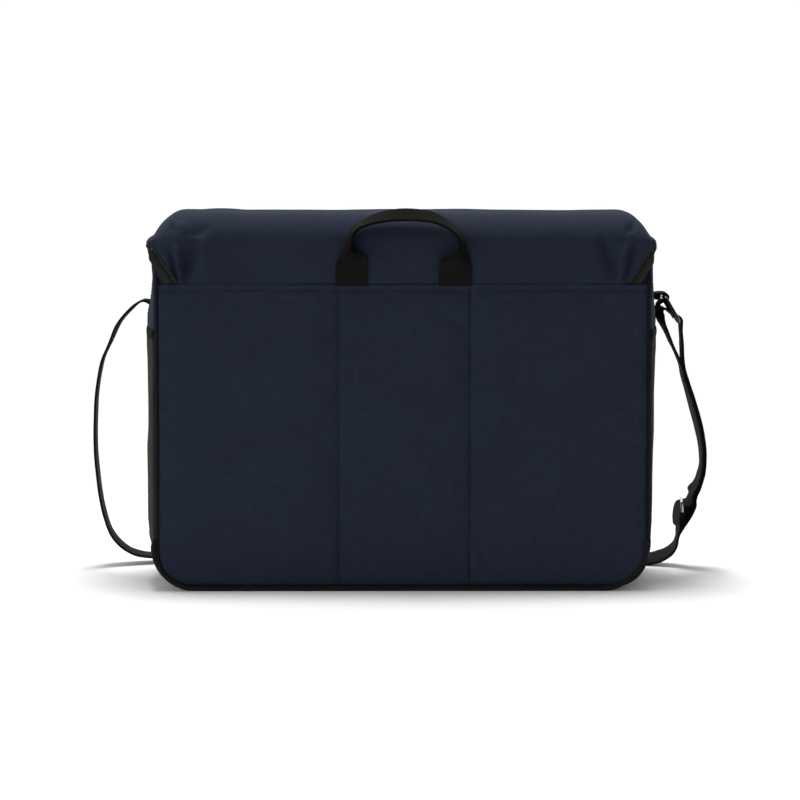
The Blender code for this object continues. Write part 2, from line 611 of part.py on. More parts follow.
# adjuster: flat frame with a centre bar, standing across the end of the doubled stretch
adj_c = Vector((0.2368, 0.0745, 0.0425))
adj_t = Vector((0.2393 - 0.2332, 0.0732 - 0.0775, 0.0480 - 0.0345)).normalized()
adj_w = Vector((0, 1, 0))
adj_w = (adj_w - adj_w.dot(adj_t) * adj_t).normalized()
adj_w = Matrix.Rotation(math.radians(-14), 3, adj_t) @ adj_w
adj_n = adj_t.cross(adj_w).normalized()
frame_m = Matrix((adj_w, adj_t, adj_n)).transposed().to_4x4()


def adj_box(name, w, h, t, dv, home=None):
    ob = box(name, (-w / 2, -h / 2, -t / 2), (w / 2, h / 2, t / 2), "metal", home=home)
    ob.matrix_world = Matrix.Translation(adj_c + adj_t * dv) @ frame_m
    return ob


ADJ_T = 0.0026
adj = adj_box("strap_adjuster", 0.0360, 0.0105, ADJ_T, 0.0)
for k, dv in enumerate((-0.00255, 0.00255)):
    boolean(adj, adj_box("adjuster_slot_%d" % k, 0.0300, 0.0026, 0.01, dv, home=cutters), 'DIFFERENCE')
hang(adj, strap_pivot)
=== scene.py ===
import math
import bpy
import bmesh
import numpy as np
from mathutils import Vector, Matrix, noise


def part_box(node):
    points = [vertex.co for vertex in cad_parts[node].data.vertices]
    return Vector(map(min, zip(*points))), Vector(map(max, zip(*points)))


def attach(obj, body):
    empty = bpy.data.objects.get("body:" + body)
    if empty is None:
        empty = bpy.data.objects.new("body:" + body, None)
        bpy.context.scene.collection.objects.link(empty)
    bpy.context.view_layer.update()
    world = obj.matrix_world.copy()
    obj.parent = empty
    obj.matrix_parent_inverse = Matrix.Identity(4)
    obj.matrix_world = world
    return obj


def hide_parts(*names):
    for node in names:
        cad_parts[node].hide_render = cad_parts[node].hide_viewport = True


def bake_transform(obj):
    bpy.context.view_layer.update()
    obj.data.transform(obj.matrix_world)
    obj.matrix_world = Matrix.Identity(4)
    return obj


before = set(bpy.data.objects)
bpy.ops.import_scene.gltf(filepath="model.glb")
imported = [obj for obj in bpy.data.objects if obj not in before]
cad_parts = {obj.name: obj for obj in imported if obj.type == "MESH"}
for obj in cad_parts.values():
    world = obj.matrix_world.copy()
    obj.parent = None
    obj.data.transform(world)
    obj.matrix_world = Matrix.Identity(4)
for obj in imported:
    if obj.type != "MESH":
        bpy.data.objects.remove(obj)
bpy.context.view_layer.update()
scene = bpy.context.scene
MM = 0.001

# ----------------------------------------------------------------------------
# places read from the frame
# ----------------------------------------------------------------------------
REAR_LO, REAR_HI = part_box("back_panel")
FRONT_LO, FRONT_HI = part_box("front_panel")
LID_LO, LID_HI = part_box("lid_shell")
BASE_LO, BASE_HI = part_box("base_panel")
POCKET_LO, POCKET_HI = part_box("side_pocket_right")
RING_LO, RING_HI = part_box("strap_ring_right")
FP_LO, FP_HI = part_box("front_pocket")
HALF_W = REAR_HI.x            # panel half width
YR = REAR_LO.y                # rear face
YF = FRONT_HI.y               # front face
Z_LOW = REAR_LO.z             # panels' lower edge
Z_SEAM = REAR_HI.z            # rear seam
Z_FRONT = FRONT_HI.z
Z_POCKET = POCKET_HI.z
Z_POCKET_TOP = FP_HI.z


def V3(x, y, z):
    return np.array([x, y, z], float)


def smooth(a, b, x):
    t = np.clip((np.asarray(x, float) - a) / (b - a), 0, 1)
    return t * t * (3 - 2 * t)


def wob(x, y, z=0.0, seed=0.0):
    """Smooth noise about -1..1, the same each run."""
    return noise.noise(Vector((x, y, z + seed)))


def wob_grid(X, Z, scale, seed):
    out = np.empty(X.shape)
    flat = out.ravel()
    xs, zs = (X * scale).ravel(), (Z * scale).ravel()
    for i in range(flat.size):
        flat[i] = noise.noise(Vector((xs[i], zs[i], seed)))
    return out


# ----------------------------------------------------------------------------
# materials
# ----------------------------------------------------------------------------
class Shade:
    """Small helper to write a node material in a few lines."""

    def __init__(self, name, rough=0.8, metallic=0.0, sheen=0.0, sheen_rough=0.5, spec=0.5, coat=0.0,
                 coat_rough=0.1):
        self.m = bpy.data.materials.new(name)
        self.m.use_nodes = True
        t = self.m.node_tree
        t.nodes.clear()
        self.t = t
        self.out = t.nodes.new("ShaderNodeOutputMaterial")
        self.b = t.nodes.new("ShaderNodeBsdfPrincipled")
        t.links.new(self.b.outputs[0], self.out.inputs[0])
        self.b.inputs["Roughness"].default_value = rough
        self.b.inputs["Metallic"].default_value = metallic
        self.b.inputs["Sheen Weight"].default_value = sheen
        self.b.inputs["Sheen Roughness"].default_value = sheen_rough
        self.b.inputs["Specular IOR Level"].default_value = spec
        self.b.inputs["Coat Weight"].default_value = coat
        self.b.inputs["Coat Roughness"].default_value = coat_rough
        self.uv = t.nodes.new("ShaderNodeUVMap")
        self.uv.uv_map = "UVMap"
        sep = t.nodes.new("ShaderNodeSeparateXYZ")
        t.links.new(self.uv.outputs[0], sep.inputs[0])
        self.u, self.v = sep.outputs[0], sep.outputs[1]
        self.geo = t.nodes.new("ShaderNodeTexCoord")
        self.obj = self.geo.outputs["Object"]

    def put(self, socket, value):
        if isinstance(value, bpy.types.NodeSocket):
            self.t.links.new(value, socket)
        else:
            socket.default_value = value

    def math(self, op, a, b=None, clamp=False):
        n = self.t.nodes.new("ShaderNodeMath")
        n.operation = op
        n.use_clamp = clamp
        self.put(n.inputs[0], a)
        if b is not None:
            self.put(n.inputs[1], b)
        return n.outputs[0]

    def mixf(self, fac, a, b):
        n = self.t.nodes.new("ShaderNodeMix")
        n.data_type = 'FLOAT'
        self.put(n.inputs[0], fac)
        self.put(n.inputs[2], a)
        self.put(n.inputs[3], b)
        return n.outputs[0]

    def mixc(self, fac, a, b):
        n = self.t.nodes.new("ShaderNodeMix")
        n.data_type = 'RGBA'
        self.put(n.inputs[0], fac)
        self.put(n.inputs[6], a if isinstance(a, bpy.types.NodeSocket) else (*a, 1.0))
        self.put(n.inputs[7], b if isinstance(b, bpy.types.NodeSocket) else (*b, 1.0))
        return n.outputs[2]

    def noise(self, scale, detail=2.0, rough=0.5, vec=None, stretch=None):
        n = self.t.nodes.new("ShaderNodeTexNoise")
        n.inputs["Scale"].default_value = scale
        n.inputs["Detail"].default_value = detail
        n.inputs["Roughness"].default_value = rough
        src = vec or self.obj
        if stretch:
            mp = self.t.nodes.new("ShaderNodeMapping")
            mp.inputs["Scale"].default_value = stretch
            self.t.links.new(src, mp.inputs["Vector"])
            src = mp.outputs[0]
        self.t.links.new(src, n.inputs["Vector"])
        return n.outputs["Fac"]

    def ramp(self, fac, lo, hi, a, b):
        n = self.t.nodes.new("ShaderNodeMapRange")
        n.inputs[1].default_value = lo
        n.inputs[2].default_value = hi
        n.inputs[3].default_value = a
        n.inputs[4].default_value = b
        self.put(n.inputs[0], fac)
        return n.outputs[0]

    def weave(self, pu, pv):
        """Plain weave: returns its height and which thread is on top."""
        U, W = self.math('DIVIDE', self.u, pu), self.math('DIVIDE', self.v, pv)
        fu, fv = self.math('FRACT', U), self.math('FRACT', W)
        par = self.math('MODULO', self.math('ADD', self.math('FLOOR', U), self.math('FLOOR', W)), 2.0)
        par = self.math('ABSOLUTE', par)
        su = self.math('SINE', self.math('MULTIPLY', fu, math.pi))
        sv = self.math('SINE', self.math('MULTIPLY', fv, math.pi))
        hu = self.math('MULTIPLY', su, self.ramp(sv, 0, 1, 0.55, 1.0))
        hv = self.math('MULTIPLY', sv, self.ramp(su, 0, 1, 0.55, 1.0))
        return self.mixf(par, hu, hv), par

    def color(self, value):
        self.put(self.b.inputs["Base Color"], value)

    def rough(self, value):
        self.put(self.b.inputs["Roughness"], value)

    def bump(self, height, dist, strength=1.0, chain=None):
        n = self.t.nodes.new("ShaderNodeBump")
        n.inputs["Distance"].default_value = dist
        n.inputs["Strength"].default_value = strength
        self.put(n.inputs["Height"], height)
        if chain is not None:
            self.t.links.new(chain, n.inputs["Normal"])
        self.t.links.new(n.outputs[0], self.b.inputs["Normal"])
        return n.outputs[0]


def woven(name, dark, light, pu=0.00085, pv=0.00085, bump=0.00016, rough=0.85, sheen=0.05, tint=None,
          slub=0.35):
    """Woven polyester: plain weave with slubs in both threads and faint wear. The tops of the threads are painted
    lighter and the dips between them darker, as painted shade.
    """
    s = Shade(name, rough=rough, sheen=sheen, sheen_rough=0.35, spec=0.12)
    if tint:
        s.b.inputs["Sheen Tint"].default_value = (*tint, 1.0)
    h, par = s.weave(pu, pv)
    weft = s.noise(1.0, 3.0, 0.6, vec=s.uv.outputs[0], stretch=(70.0, 1100.0, 1.0))
    warp = s.noise(1.0, 3.0, 0.6, vec=s.uv.outputs[0], stretch=(1100.0, 70.0, 1.0))
    streak = s.mixf(par, warp, weft)
    cloud = s.noise(16.0, 3.0, 0.55)
    # slub streaks, cloud and yarn noise are the cloth's own uneven tone; the weave height term paints the dips between
    # threads darker and the thread tops lighter, as painted shade
    tone = s.math('ADD', s.math('MULTIPLY', s.math('SUBTRACT', streak, 0.5), slub * 2.2),
                  s.math('MULTIPLY', s.math('SUBTRACT', h, 0.6), 0.55))
    tone = s.math('ADD', tone, s.math('MULTIPLY', s.math('SUBTRACT', cloud, 0.5), 0.30))
    # uneven yarn: long thick and thin places running both ways
    for st in ((55.0, 520.0, 1.0), (520.0, 55.0, 1.0)):
        yarn = s.noise(1.0, 2.0, 0.5, vec=s.uv.outputs[0], stretch=st)
        tone = s.math('ADD', tone, s.math('MULTIPLY', s.math('SUBTRACT', yarn, 0.5), slub * 0.95))
    tone = s.math('ADD', tone, 0.5, clamp=True)
    s.color(s.mixc(tone, dark, light))
    s.rough(s.ramp(streak, 0.3, 0.7, rough - 0.05, rough + 0.08))
    lump = s.math('ADD', h, s.math('MULTIPLY', streak, 0.5))
    s.bump(lump, bump)
    return s.m


def webbing(name, dark, light, rib=0.0016, pitch=0.0011, rough=0.72):
    """Ribbed webbing: raised cords along the length with weft picks across, flatter selvedges. Its colour follows the
    cord and pick height, so the grooves carry painted shade.
    """
    s = Shade(name, rough=rough, sheen=0.0, sheen_rough=0.35, spec=0.05)
    U, W = s.math('DIVIDE', s.u, rib), s.math('DIVIDE', s.v, pitch)
    cord = s.math('ABSOLUTE', s.math('SINE', s.math('MULTIPLY', U, math.pi)))
    # picks are shifted by half a step on every other cord, like a herringbone
    shift = s.math('MULTIPLY', s.math('MODULO', s.math('ABSOLUTE', s.math('FLOOR', U)), 2.0), 0.5)
    pick = s.math('ABSOLUTE', s.math('SINE', s.math('MULTIPLY', s.math('ADD', s.math('ADD', W, shift),
                  s.math('MULTIPLY', s.math('FRACT', U), 0.45)), math.pi)))
    h = s.math('ADD', s.math('MULTIPLY', cord, 0.65), s.math('MULTIPLY', pick, 0.45))
    fuzz = s.noise(900.0, 2.0, 0.6)
    cloud = s.noise(35.0, 3.0, 0.5)
    # tone: the cord and pick height paints the grooves darker and the raised cords lighter, as painted shade; fuzz and
    # cloud are the yarn's own uneven tone
    tone = s.math('ADD', s.math('MULTIPLY', h, 0.55), s.math('MULTIPLY', s.math('SUBTRACT', fuzz, 0.5), 0.5))
    tone = s.math('ADD', tone, s.math('MULTIPLY', s.math('SUBTRACT', cloud, 0.5), 0.35), clamp=True)
    s.color(s.mixc(tone, dark, light))
    s.rough(s.ramp(h, 0.0, 1.0, rough + 0.12, rough - 0.06))
    s.bump(h, 0.00028)
    return s.m


def ribbed_mesh(name, dark, light):
    """Stretch pocket fabric: horizontal ribs with rows of small holes, painted near-black and bumped in rather than
    cut open. The near-black stands for the dark cloth behind and painted shade inside the holes; the ribs are painted
    lighter than the dips between them, as painted shade.
    """
    s = Shade(name, rough=0.86, sheen=0.04, sheen_rough=0.4, spec=0.10)
    rows = s.math('DIVIDE', s.v, 0.0032)
    cols = s.math('DIVIDE', s.u, 0.0028)
    rib = s.math('ABSOLUTE', s.math('SINE', s.math('MULTIPLY', rows, math.pi)))
    shift = s.math('MULTIPLY', s.math('MODULO', s.math('ABSOLUTE', s.math('FLOOR', rows)), 2.0), 0.5)
    fx = s.math('SUBTRACT', s.math('FRACT', s.math('ADD', cols, shift)), 0.5)
    fy = s.math('SUBTRACT', s.math('FRACT', rows), 0.5)
    d = s.math('SQRT', s.math('ADD', s.math('MULTIPLY', fx, fx), s.math('MULTIPLY', s.math('MULTIPLY', fy, fy), 1.6)))
    hole = s.ramp(d, 0.20, 0.30, 0.0, 1.0)
    h, par = s.weave(0.0007, 0.0007)
    fuzz = s.noise(700.0, 2.0, 0.6)
    # tone: ribs painted lighter than the dips between them, as painted shade; the holes are painted near-black,
    # painted shade over the dark cloth behind; fuzz is the yarn's own uneven tone
    tone = s.math('ADD', s.math('MULTIPLY', rib, 0.4), s.math('MULTIPLY', fuzz, 0.6), clamp=True)
    tone = s.math('MULTIPLY', tone, s.ramp(hole, 0, 1, 0.05, 1.0))
    s.color(s.mixc(tone, dark, light))
    lump = s.math('ADD', s.math('MULTIPLY', rib, 0.5), s.math('ADD', hole, s.math('MULTIPLY', h, 0.25)))
    s.bump(lump, 0.00045)
    return s.m


def coil_mat(name, dark, light):
    """Nylon zip coil: slanting turns with a soft shine. The gaps between the turns are painted dark, as painted shade.
    """
    s = Shade(name, rough=0.60, spec=0.06)
    tooth = s.math('ABSOLUTE', s.math('SINE', s.math('MULTIPLY', s.math('DIVIDE', s.math('ADD', s.v,
                   s.math('MULTIPLY', s.u, 0.35)), 0.0013), math.pi)))
    n = s.noise(260.0, 2.0, 0.5)
    # the tooth profile paints the gaps between the coil's turns dark, as painted shade; the noise is the nylon's own
    # uneven tone
    s.color(s.mixc(s.math('MULTIPLY', tooth, s.ramp(n, 0.3, 0.7, 0.7, 1.0)), dark, light))
    s.rough(s.ramp(n, 0.3, 0.7, 0.28, 0.45))
    s.bump(tooth, 0.00045)
    return s.m


def gloss_metal(name, base, rough=0.16, metallic=1.0, coat=0.35):
    """Black-plated die-cast metal: gloss with faint orange peel and rubbed spots placed by noise."""
    s = Shade(name, rough=rough, metallic=metallic, spec=0.6, coat=coat, coat_rough=0.06)
    n = s.noise(120.0, 4.0, 0.6)
    fine = s.noise(1500.0, 2.0, 0.5)
    worn = s.ramp(s.noise(420.0, 3.0, 0.7), 0.58, 0.75, 0.0, 1.0)
    light = tuple(min(1.0, c * 3.2 + 0.03) for c in base)
    s.color(s.mixc(s.math('MULTIPLY', worn, 0.35), base, light))
    s.rough(s.math('ADD', s.ramp(n, 0.3, 0.7, rough - 0.05, rough + 0.09), s.math('MULTIPLY', worn, 0.1)))
    s.bump(s.math('ADD', s.math('MULTIPLY', n, 0.6), s.math('MULTIPLY', fine, 0.12)), 0.00006)
    return s.m


def thread_mat(name, dark, light):
    """Twisted sewing thread. The grooves between the plies are painted dark, as painted shade."""
    s = Shade(name, rough=0.6, sheen=0.03, spec=0.2)
    ply = s.math('ABSOLUTE', s.math('SINE', s.math('MULTIPLY', s.math('ADD', s.math('DIVIDE', s.v, 0.0006),
                 s.math('DIVIDE', s.u, 0.0008)), math.pi)))
    n = s.noise(500.0, 2.0, 0.5)
    # the ply profile paints the grooves between the plies dark, as painted shade; the noise is the thread's own uneven
    # tone
    s.color(s.mixc(s.math('MULTIPLY', ply, s.ramp(n, 0.3, 0.7, 0.6, 1.0)), dark, light))
    s.bump(ply, 0.0001)
    return s.m


def coated(name, dark, light, rough=0.5, grain=260.0):
    """Wipe-clean coated cloth: faint weave showing through a satin film."""
    s = Shade(name, rough=rough, spec=0.45, sheen=0.05)
    h, par = s.weave(0.0011, 0.0011)
    n = s.noise(grain, 3.0, 0.55)
    cloud = s.noise(14.0, 3.0, 0.5)
    tone = s.math('ADD', s.math('MULTIPLY', s.math('SUBTRACT', cloud, 0.5), 0.6),
                  s.math('MULTIPLY', s.math('SUBTRACT', n, 0.5), 0.5))
    tone = s.math('ADD', tone, 0.5, clamp=True)
    s.color(s.mixc(tone, dark, light))
    s.rough(s.ramp(n, 0.3, 0.7, rough - 0.08, rough + 0.1))
    s.bump(s.math('ADD', s.math('MULTIPLY', h, 0.6), n), 0.00012)
    return s.m


NAVY_DARK, NAVY_LIGHT = (0.0078, 0.0112, 0.0225), (0.0215, 0.0290, 0.0520)
MAT = {
    "navy": woven("navy_weave", NAVY_DARK, NAVY_LIGHT, sheen=0.03, tint=(0.35, 0.45, 0.75), slub=0.5),
    "navy_thread": thread_mat("navy_thread", (0.004, 0.005, 0.009), (0.016, 0.019, 0.030)),
    "black_thread": thread_mat("black_thread", (0.004, 0.004, 0.004), (0.020, 0.020, 0.018)),
    "web": webbing("black_webbing_weave", (0.0018, 0.0017, 0.0015), (0.0130, 0.0122, 0.0108)),
    "pipe": woven("piping_weave", (0.0022, 0.0024, 0.0030), (0.0075, 0.0080, 0.0095), pu=0.0006, pv=0.0006,
                  bump=0.0001, sheen=0.02),
    "base": woven("base_weave", (0.0035, 0.0037, 0.0042), (0.0120, 0.0125, 0.0140), pu=0.0011, pv=0.0011,
                  bump=0.0002, rough=0.7, sheen=0.03),
    "mesh": ribbed_mesh("pocket_ribs", (0.0030, 0.0030, 0.0028), (0.0240, 0.0235, 0.0215)),
    # zip tape: black tape whose colour is lifted to olive brown as painted sheen, the light it catches at a grazing
    # angle
    "tape": woven("zip_tape_weave", (0.0100, 0.0094, 0.0076), (0.0320, 0.0305, 0.0245), pu=0.0006, pv=0.0009,
                  bump=0.00014, rough=0.75, sheen=0.03),
    "coil": coil_mat("zip_coil_nylon", (0.0060, 0.0058, 0.0048), (0.0300, 0.0290, 0.0235)),
    "metal": gloss_metal("black_plated", (0.030, 0.030, 0.032)),
    "bright": gloss_metal("adjuster_plated", (0.42, 0.42, 0.44), rough=0.20, coat=0.2),
    "plastic": gloss_metal("adjuster_gloss", (0.012, 0.012, 0.013), rough=0.22, metallic=0.0, coat=0.5),
    "lining": woven("lining_weave", (0.20, 0.21, 0.225), (0.34, 0.35, 0.365), pu=0.0006, pv=0.0006,
                    bump=0.00008, rough=0.6, sheen=0.1, slub=0.2),
    "mat": coated("mat_film", (0.11, 0.125, 0.15), (0.19, 0.21, 0.24)),
    "board": coated("board_surface", (0.03, 0.03, 0.03), (0.07, 0.07, 0.07), rough=0.65),
}


# ----------------------------------------------------------------------------
# mesh helpers
# ----------------------------------------------------------------------------
def finish_mesh(name, verts, faces, loop_uv, mat, smooth_shade=True):
    me = bpy.data.meshes.new(name)
    me.from_pydata([tuple(v) for v in verts], [], faces)
    layer = me.uv_layers.new(name="UVMap")
    flat = np.asarray(loop_uv, np.float32).ravel()
    layer.data.foreach_set("uv", flat)
    me.validate()
    me.update()
    if smooth_shade:
        me.shade_smooth()
    me.materials.append(MAT[mat] if isinstance(mat, str) else mat)
    ob = bpy.data.objects.new(name, me)
    scene.collection.objects.link(ob)
    return ob


def grid(name, P, UV, mat, wrap=False, flip=False, cap0=False, cap1=False):
    """Surface through P[row, col]. wrap closes it across the columns; the last
    column of UV then belongs to the first column of P."""
    R, C = P.shape[:2]
    cols = C if wrap else C - 1
    faces, uvs = [], []
    for r in range(R - 1):
        for c in range(cols):
            c1 = (c + 1) % C
            quad = [(r, c, c), (r, c1, c + 1), (r + 1, c1, c + 1), (r + 1, c, c)]
            if flip:
                quad.reverse()
            faces.append([q[0] * C + q[1] for q in quad])
            uvs += [UV[q[0], q[2]] for q in quad]
    verts = P.reshape(-1, 3)
    if wrap:
        for want, r in ((cap0, 0), (cap1, R - 1)):
            if want:
                ring = [(r, c) for c in range(C)]
                if (r == 0) != flip:
                    ring.reverse()
                faces.append([a * C + b for a, b in ring])
                uvs += [UV[a, b] for a, b in ring]
    return finish_mesh(name, verts, faces, uvs, mat)


def thicken(ob, t, offset=-1.0, rim=True):
    m = ob.modifiers.new("cloth_thickness", 'SOLIDIFY')
    m.thickness = t
    m.offset = offset
    m.use_rim = rim
    return ob


def catmull(ctrl, step=None, count=None):
    ctrl = [np.asarray(c, float) for c in ctrl]
    ext = [2 * ctrl[0] - ctrl[1]] + ctrl + [2 * ctrl[-1] - ctrl[-2]]
    fine = []
    for i in range(1, len(ext) - 2):
        p0, p1, p2, p3 = ext[i - 1:i + 3]
        for k in range(24):
            t = k / 24
            fine.append(0.5 * (2 * p1 + (p2 - p0) * t + (2 * p0 - 5 * p1 + 4 * p2 - p3) * t * t
                               + (3 * p1 - p0 - 3 * p2 + p3) * t ** 3))
    fine.append(ctrl[-1])
    fine = np.array(fine)
    seg = np.linalg.norm(np.diff(fine[:, :3], axis=0), axis=1)
    run = np.concatenate([[0], np.cumsum(seg)])
    n = count or max(2, int(round(run[-1] / step)))
    s = np.linspace(0, run[-1], n + 1)
    return np.stack([np.interp(s, run, fine[:, d]) for d in range(fine.shape[1])], 1)


def tangents(P):
    t = np.gradient(P, axis=0)
    return t / np.linalg.norm(t, axis=1, keepdims=True)


def arclen(P):
    return np.concatenate([[0], np.cumsum(np.linalg.norm(np.diff(P, axis=0), axis=1))])


def rod(name, pts, radius, mat, sides=12, cyclic=False, ref=(0, 1, 0), squash=1.0, caps=True):
    """Round bar or cord through pts."""
    P = np.asarray(pts, float)
    if cyclic:
        t = np.roll(P, -1, 0) - np.roll(P, 1, 0)
        t /= np.linalg.norm(t, axis=1, keepdims=True)
    else:
        t = tangents(P)
    ref = np.asarray(ref, float)
    a = ref - (t @ ref)[:, None] * t
    bad = np.linalg.norm(a, axis=1) < 1e-3
    a[bad] = np.cross(t[bad], [0, 0, 1.0])
    a /= np.linalg.norm(a, axis=1, keepdims=True)
    b = np.cross(t, a)
    ang = np.linspace(0, 2 * math.pi, sides, endpoint=False)
    r = np.broadcast_to(np.asarray(radius, float), (len(P),))[:, None, None]
    Q = P[:, None, :] + r * (np.cos(ang)[None, :, None] * a[:, None, :] * squash
                             + np.sin(ang)[None, :, None] * b[:, None, :])
    s = arclen(P)
    rr = float(np.mean(radius))
    UV = np.zeros((len(P) + (1 if cyclic else 0), sides + 1, 2))
    if cyclic:
        Q = np.concatenate([Q, Q[:1]], 0)
        s = np.concatenate([s, [s[-1] + np.linalg.norm(P[0] - P[-1])]])
    UV[:, :, 0] = (np.arange(sides + 1) / sides * 2 * math.pi * rr)[None, :]
    UV[:, :, 1] = s[:, None]
    ob = grid(name, Q, UV, mat, wrap=True, cap0=caps and not cyclic, cap1=caps and not cyclic)
    if cyclic:
        weld(ob)
    return ob


def weld(ob, dist=1e-6):
    bm = bmesh.new()
    bm.from_mesh(ob.data)
    bmesh.ops.remove_doubles(bm, verts=bm.verts, dist=dist)
    bmesh.ops.recalc_face_normals(bm, faces=bm.faces)
    bm.to_mesh(ob.data)
    bm.free()
    ob.data.shade_smooth()
    return ob


def outward(ob):
    bm = bmesh.new()
    bm.from_mesh(ob.data)
    bmesh.ops.recalc_face_normals(bm, faces=bm.faces)
    bm.to_mesh(ob.data)
    bm.free()
    return ob


def strap(name, P, W, N, width, thick, mat, crown=0.00015, k=9):
    """Webbing with rounded selvedges. P centre line, W width and N normal directions per row."""
    n = len(P)
    width = np.broadcast_to(np.asarray(width, float), (n,))
    thick = np.broadcast_to(np.asarray(thick, float), (n,))
    xs = np.linspace(-1, 1, k)
    prof = [(x, 1.0) for x in xs] + [(1.0, 0.35), (1.0, -0.35)] + [(x, -1.0) for x in xs[::-1]] + \
           [(-1.0, -0.35), (-1.0, 0.35)]
    prof = np.array(prof)
    inset = np.where(np.abs(prof[:, 1]) > 0.9, np.where(np.abs(prof[:, 0]) > 0.99, 0.35, 0.0), 0.0)
    Q = np.empty((n, len(prof), 3))
    UV = np.empty((n, len(prof) + 1, 2))
    s = arclen(P)
    for i in range(n):
        w, t = width[i] / 2, thick[i] / 2
        x = prof[:, 0] * w - np.sign(prof[:, 0]) * inset * t
        y = prof[:, 1] * t + np.where(prof[:, 1] > 0.9, crown * (1 - prof[:, 0] ** 2), 0.0)
        Q[i] = P[i] + x[:, None] * W[i] + y[:, None] * N[i]
        per = np.concatenate([[0], np.cumsum(np.hypot(np.diff(np.append(x, x[0])), np.diff(np.append(y, y[0]))))])
        UV[i, :, 0] = per
        UV[i, :, 1] = s[i]
    ob = grid(name, Q, UV, mat, wrap=True, cap0=True, cap1=True)
    return outward(ob)


def frames_for(P, across, twist=None):
    t = tangents(P)
    across = np.broadcast_to(np.asarray(across, float), P.shape)
    w = across - np.sum(across * t, 1, keepdims=True) * t
    w /= np.linalg.norm(w, axis=1, keepdims=True)
    n = np.cross(t, w)
    if twist is not None:
        a = np.radians(twist)[:, None]
        w, n = w * np.cos(a) + n * np.sin(a), -w * np.sin(a) + n * np.cos(a)
    return w, n


def stitches(name, pts, normals, mat, pitch=0.0032, length=0.0025, radius=0.00024, lift=0.00012):
    """One row of separate stitches lying on a surface along pts."""
    P = np.asarray(pts, float)
    N = np.broadcast_to(np.asarray(normals, float), P.shape)
    s = arclen(P)
    verts, faces, uvs = [], [], []
    count = int((s[-1] - length) / pitch) + 1
    sides, rings = 6, 5
    for k in range(count):
        s0 = k * pitch + (s[-1] - (count - 1) * pitch - length) / 2
        ss = s0 + length * np.linspace(0, 1, rings)
        C = np.stack([np.interp(ss, s, P[:, d]) for d in range(3)], 1)
        nn = np.stack([np.interp(ss, s, N[:, d]) for d in range(3)], 1)
        nn /= np.linalg.norm(nn, axis=1, keepdims=True)
        arch = np.array([-0.9, 0.55, 1.0, 0.55, -0.9])
        C = C + nn * (lift + radius * 0.6 * arch)[:, None]
        t = tangents(C)
        a = np.cross(t, nn)
        a /= np.linalg.norm(a, axis=1, keepdims=True)
        b = np.cross(a, t)
        rad = radius * np.array([0.7, 1.0, 1.05, 1.0, 0.7])
        base = len(verts)
        for i in range(rings):
            for j in range(sides):
                q = 2 * math.pi * j / sides
                verts.append(C[i] + rad[i] * (math.cos(q) * a[i] + math.sin(q) * b[i]))
        for i in range(rings - 1):
            for j in range(sides):
                j1 = (j + 1) % sides
                faces.append([base + i * sides + j, base + (i + 1) * sides + j,
                              base + (i + 1) * sides + j1, base + i * sides + j1])
                u0, u1 = j / sides * 0.0015, (j + 1) / sides * 0.0015
                v0, v1 = ss[i], ss[i + 1]
                uvs += [(u0, v0), (u0, v1), (u1, v1), (u1, v0)]
        faces.append([base + j for j in range(sides)])
        uvs += [(0, 0)] * sides
        faces.append([base + (rings - 1) * sides + j for j in reversed(range(sides))])
        uvs += [(0, 0)] * sides
    return finish_mesh(name, verts, faces, uvs, mat)


def place(ob, body, replaces=()):
    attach(ob, body)
    if replaces:
        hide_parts(*replaces)
    return ob


# ----------------------------------------------------------------------------
# stage: camera, light, floor
# ----------------------------------------------------------------------------
EL, AZ, DIST = math.radians(5.0), math.radians(-0.3), 3.0
TARGET = Vector((-0.0022, YR, 0.1536))
back = Vector((math.sin(AZ) * math.cos(EL), -math.cos(AZ) * math.cos(EL), math.sin(EL)))
cam = bpy.data.cameras.new("photo_camera")
cam.sensor_width = 36.0
cam.lens = 3.0 / 0.0008 / 800.0 * 36.0
cam.clip_end = 50.0
cam_ob = bpy.data.objects.new("photo_camera", cam)
scene.collection.objects.link(cam_ob)
cam_ob.location = TARGET + back * DIST
cam_ob.rotation_euler = (-back).to_track_quat('-Z', 'Y').to_euler()
scene.camera = cam_ob

scene.view_settings.view_transform = 'Standard'
scene.view_settings.look = 'None'
scene.view_settings.exposure = 0.0
scene.view_settings.gamma = 1.0

WORLD_DARK = 0.15
world = bpy.data.worlds.new("studio")
scene.world = world
world.use_nodes = True
wt = world.node_tree
wbg = wt.nodes["Background"]
wbg.inputs[0].default_value = (1.0, 1.0, 1.0, 1.0)
wtc = wt.nodes.new("ShaderNodeTexCoord")
wsep = wt.nodes.new("ShaderNodeSeparateXYZ")
wmr = wt.nodes.new("ShaderNodeMapRange")
wmr.interpolation_type = 'SMOOTHSTEP'
wmr.inputs[1].default_value, wmr.inputs[2].default_value = -0.26, 0.45
wmr.inputs[3].default_value, wmr.inputs[4].default_value = WORLD_DARK, 1.02
wt.links.new(wtc.outputs["Generated"], wsep.inputs[0])
wt.links.new(wsep.outputs[1], wmr.inputs[0])
wt.links.new(wmr.outputs[0], wbg.inputs[1])


def area(name, loc, target, size, power, size_y=None):
    l = bpy.data.lights.new(name, 'AREA')
    l.shape = 'RECTANGLE'
    l.size = size
    l.size_y = size_y or size
    l.energy = power
    o = bpy.data.objects.new(name, l)
    scene.collection.objects.link(o)
    o.location = loc
    o.rotation_euler = (Vector(target) - Vector(loc)).to_track_quat('-Z', 'Y').to_euler()
    return o


area("top_softbox", (-0.1, 0.16, 2.3), (0, 0.06, 0.0), 0.8, 41.0)
area("front_fill", (-1.4, -2.9, 0.50), (0, 0, 0.16), 1.8, 27.0, size_y=0.7)
area("left_softbox", (-2.4, -1.0, 0.8), (0, 0, 0.15), 1.0, 8.0)

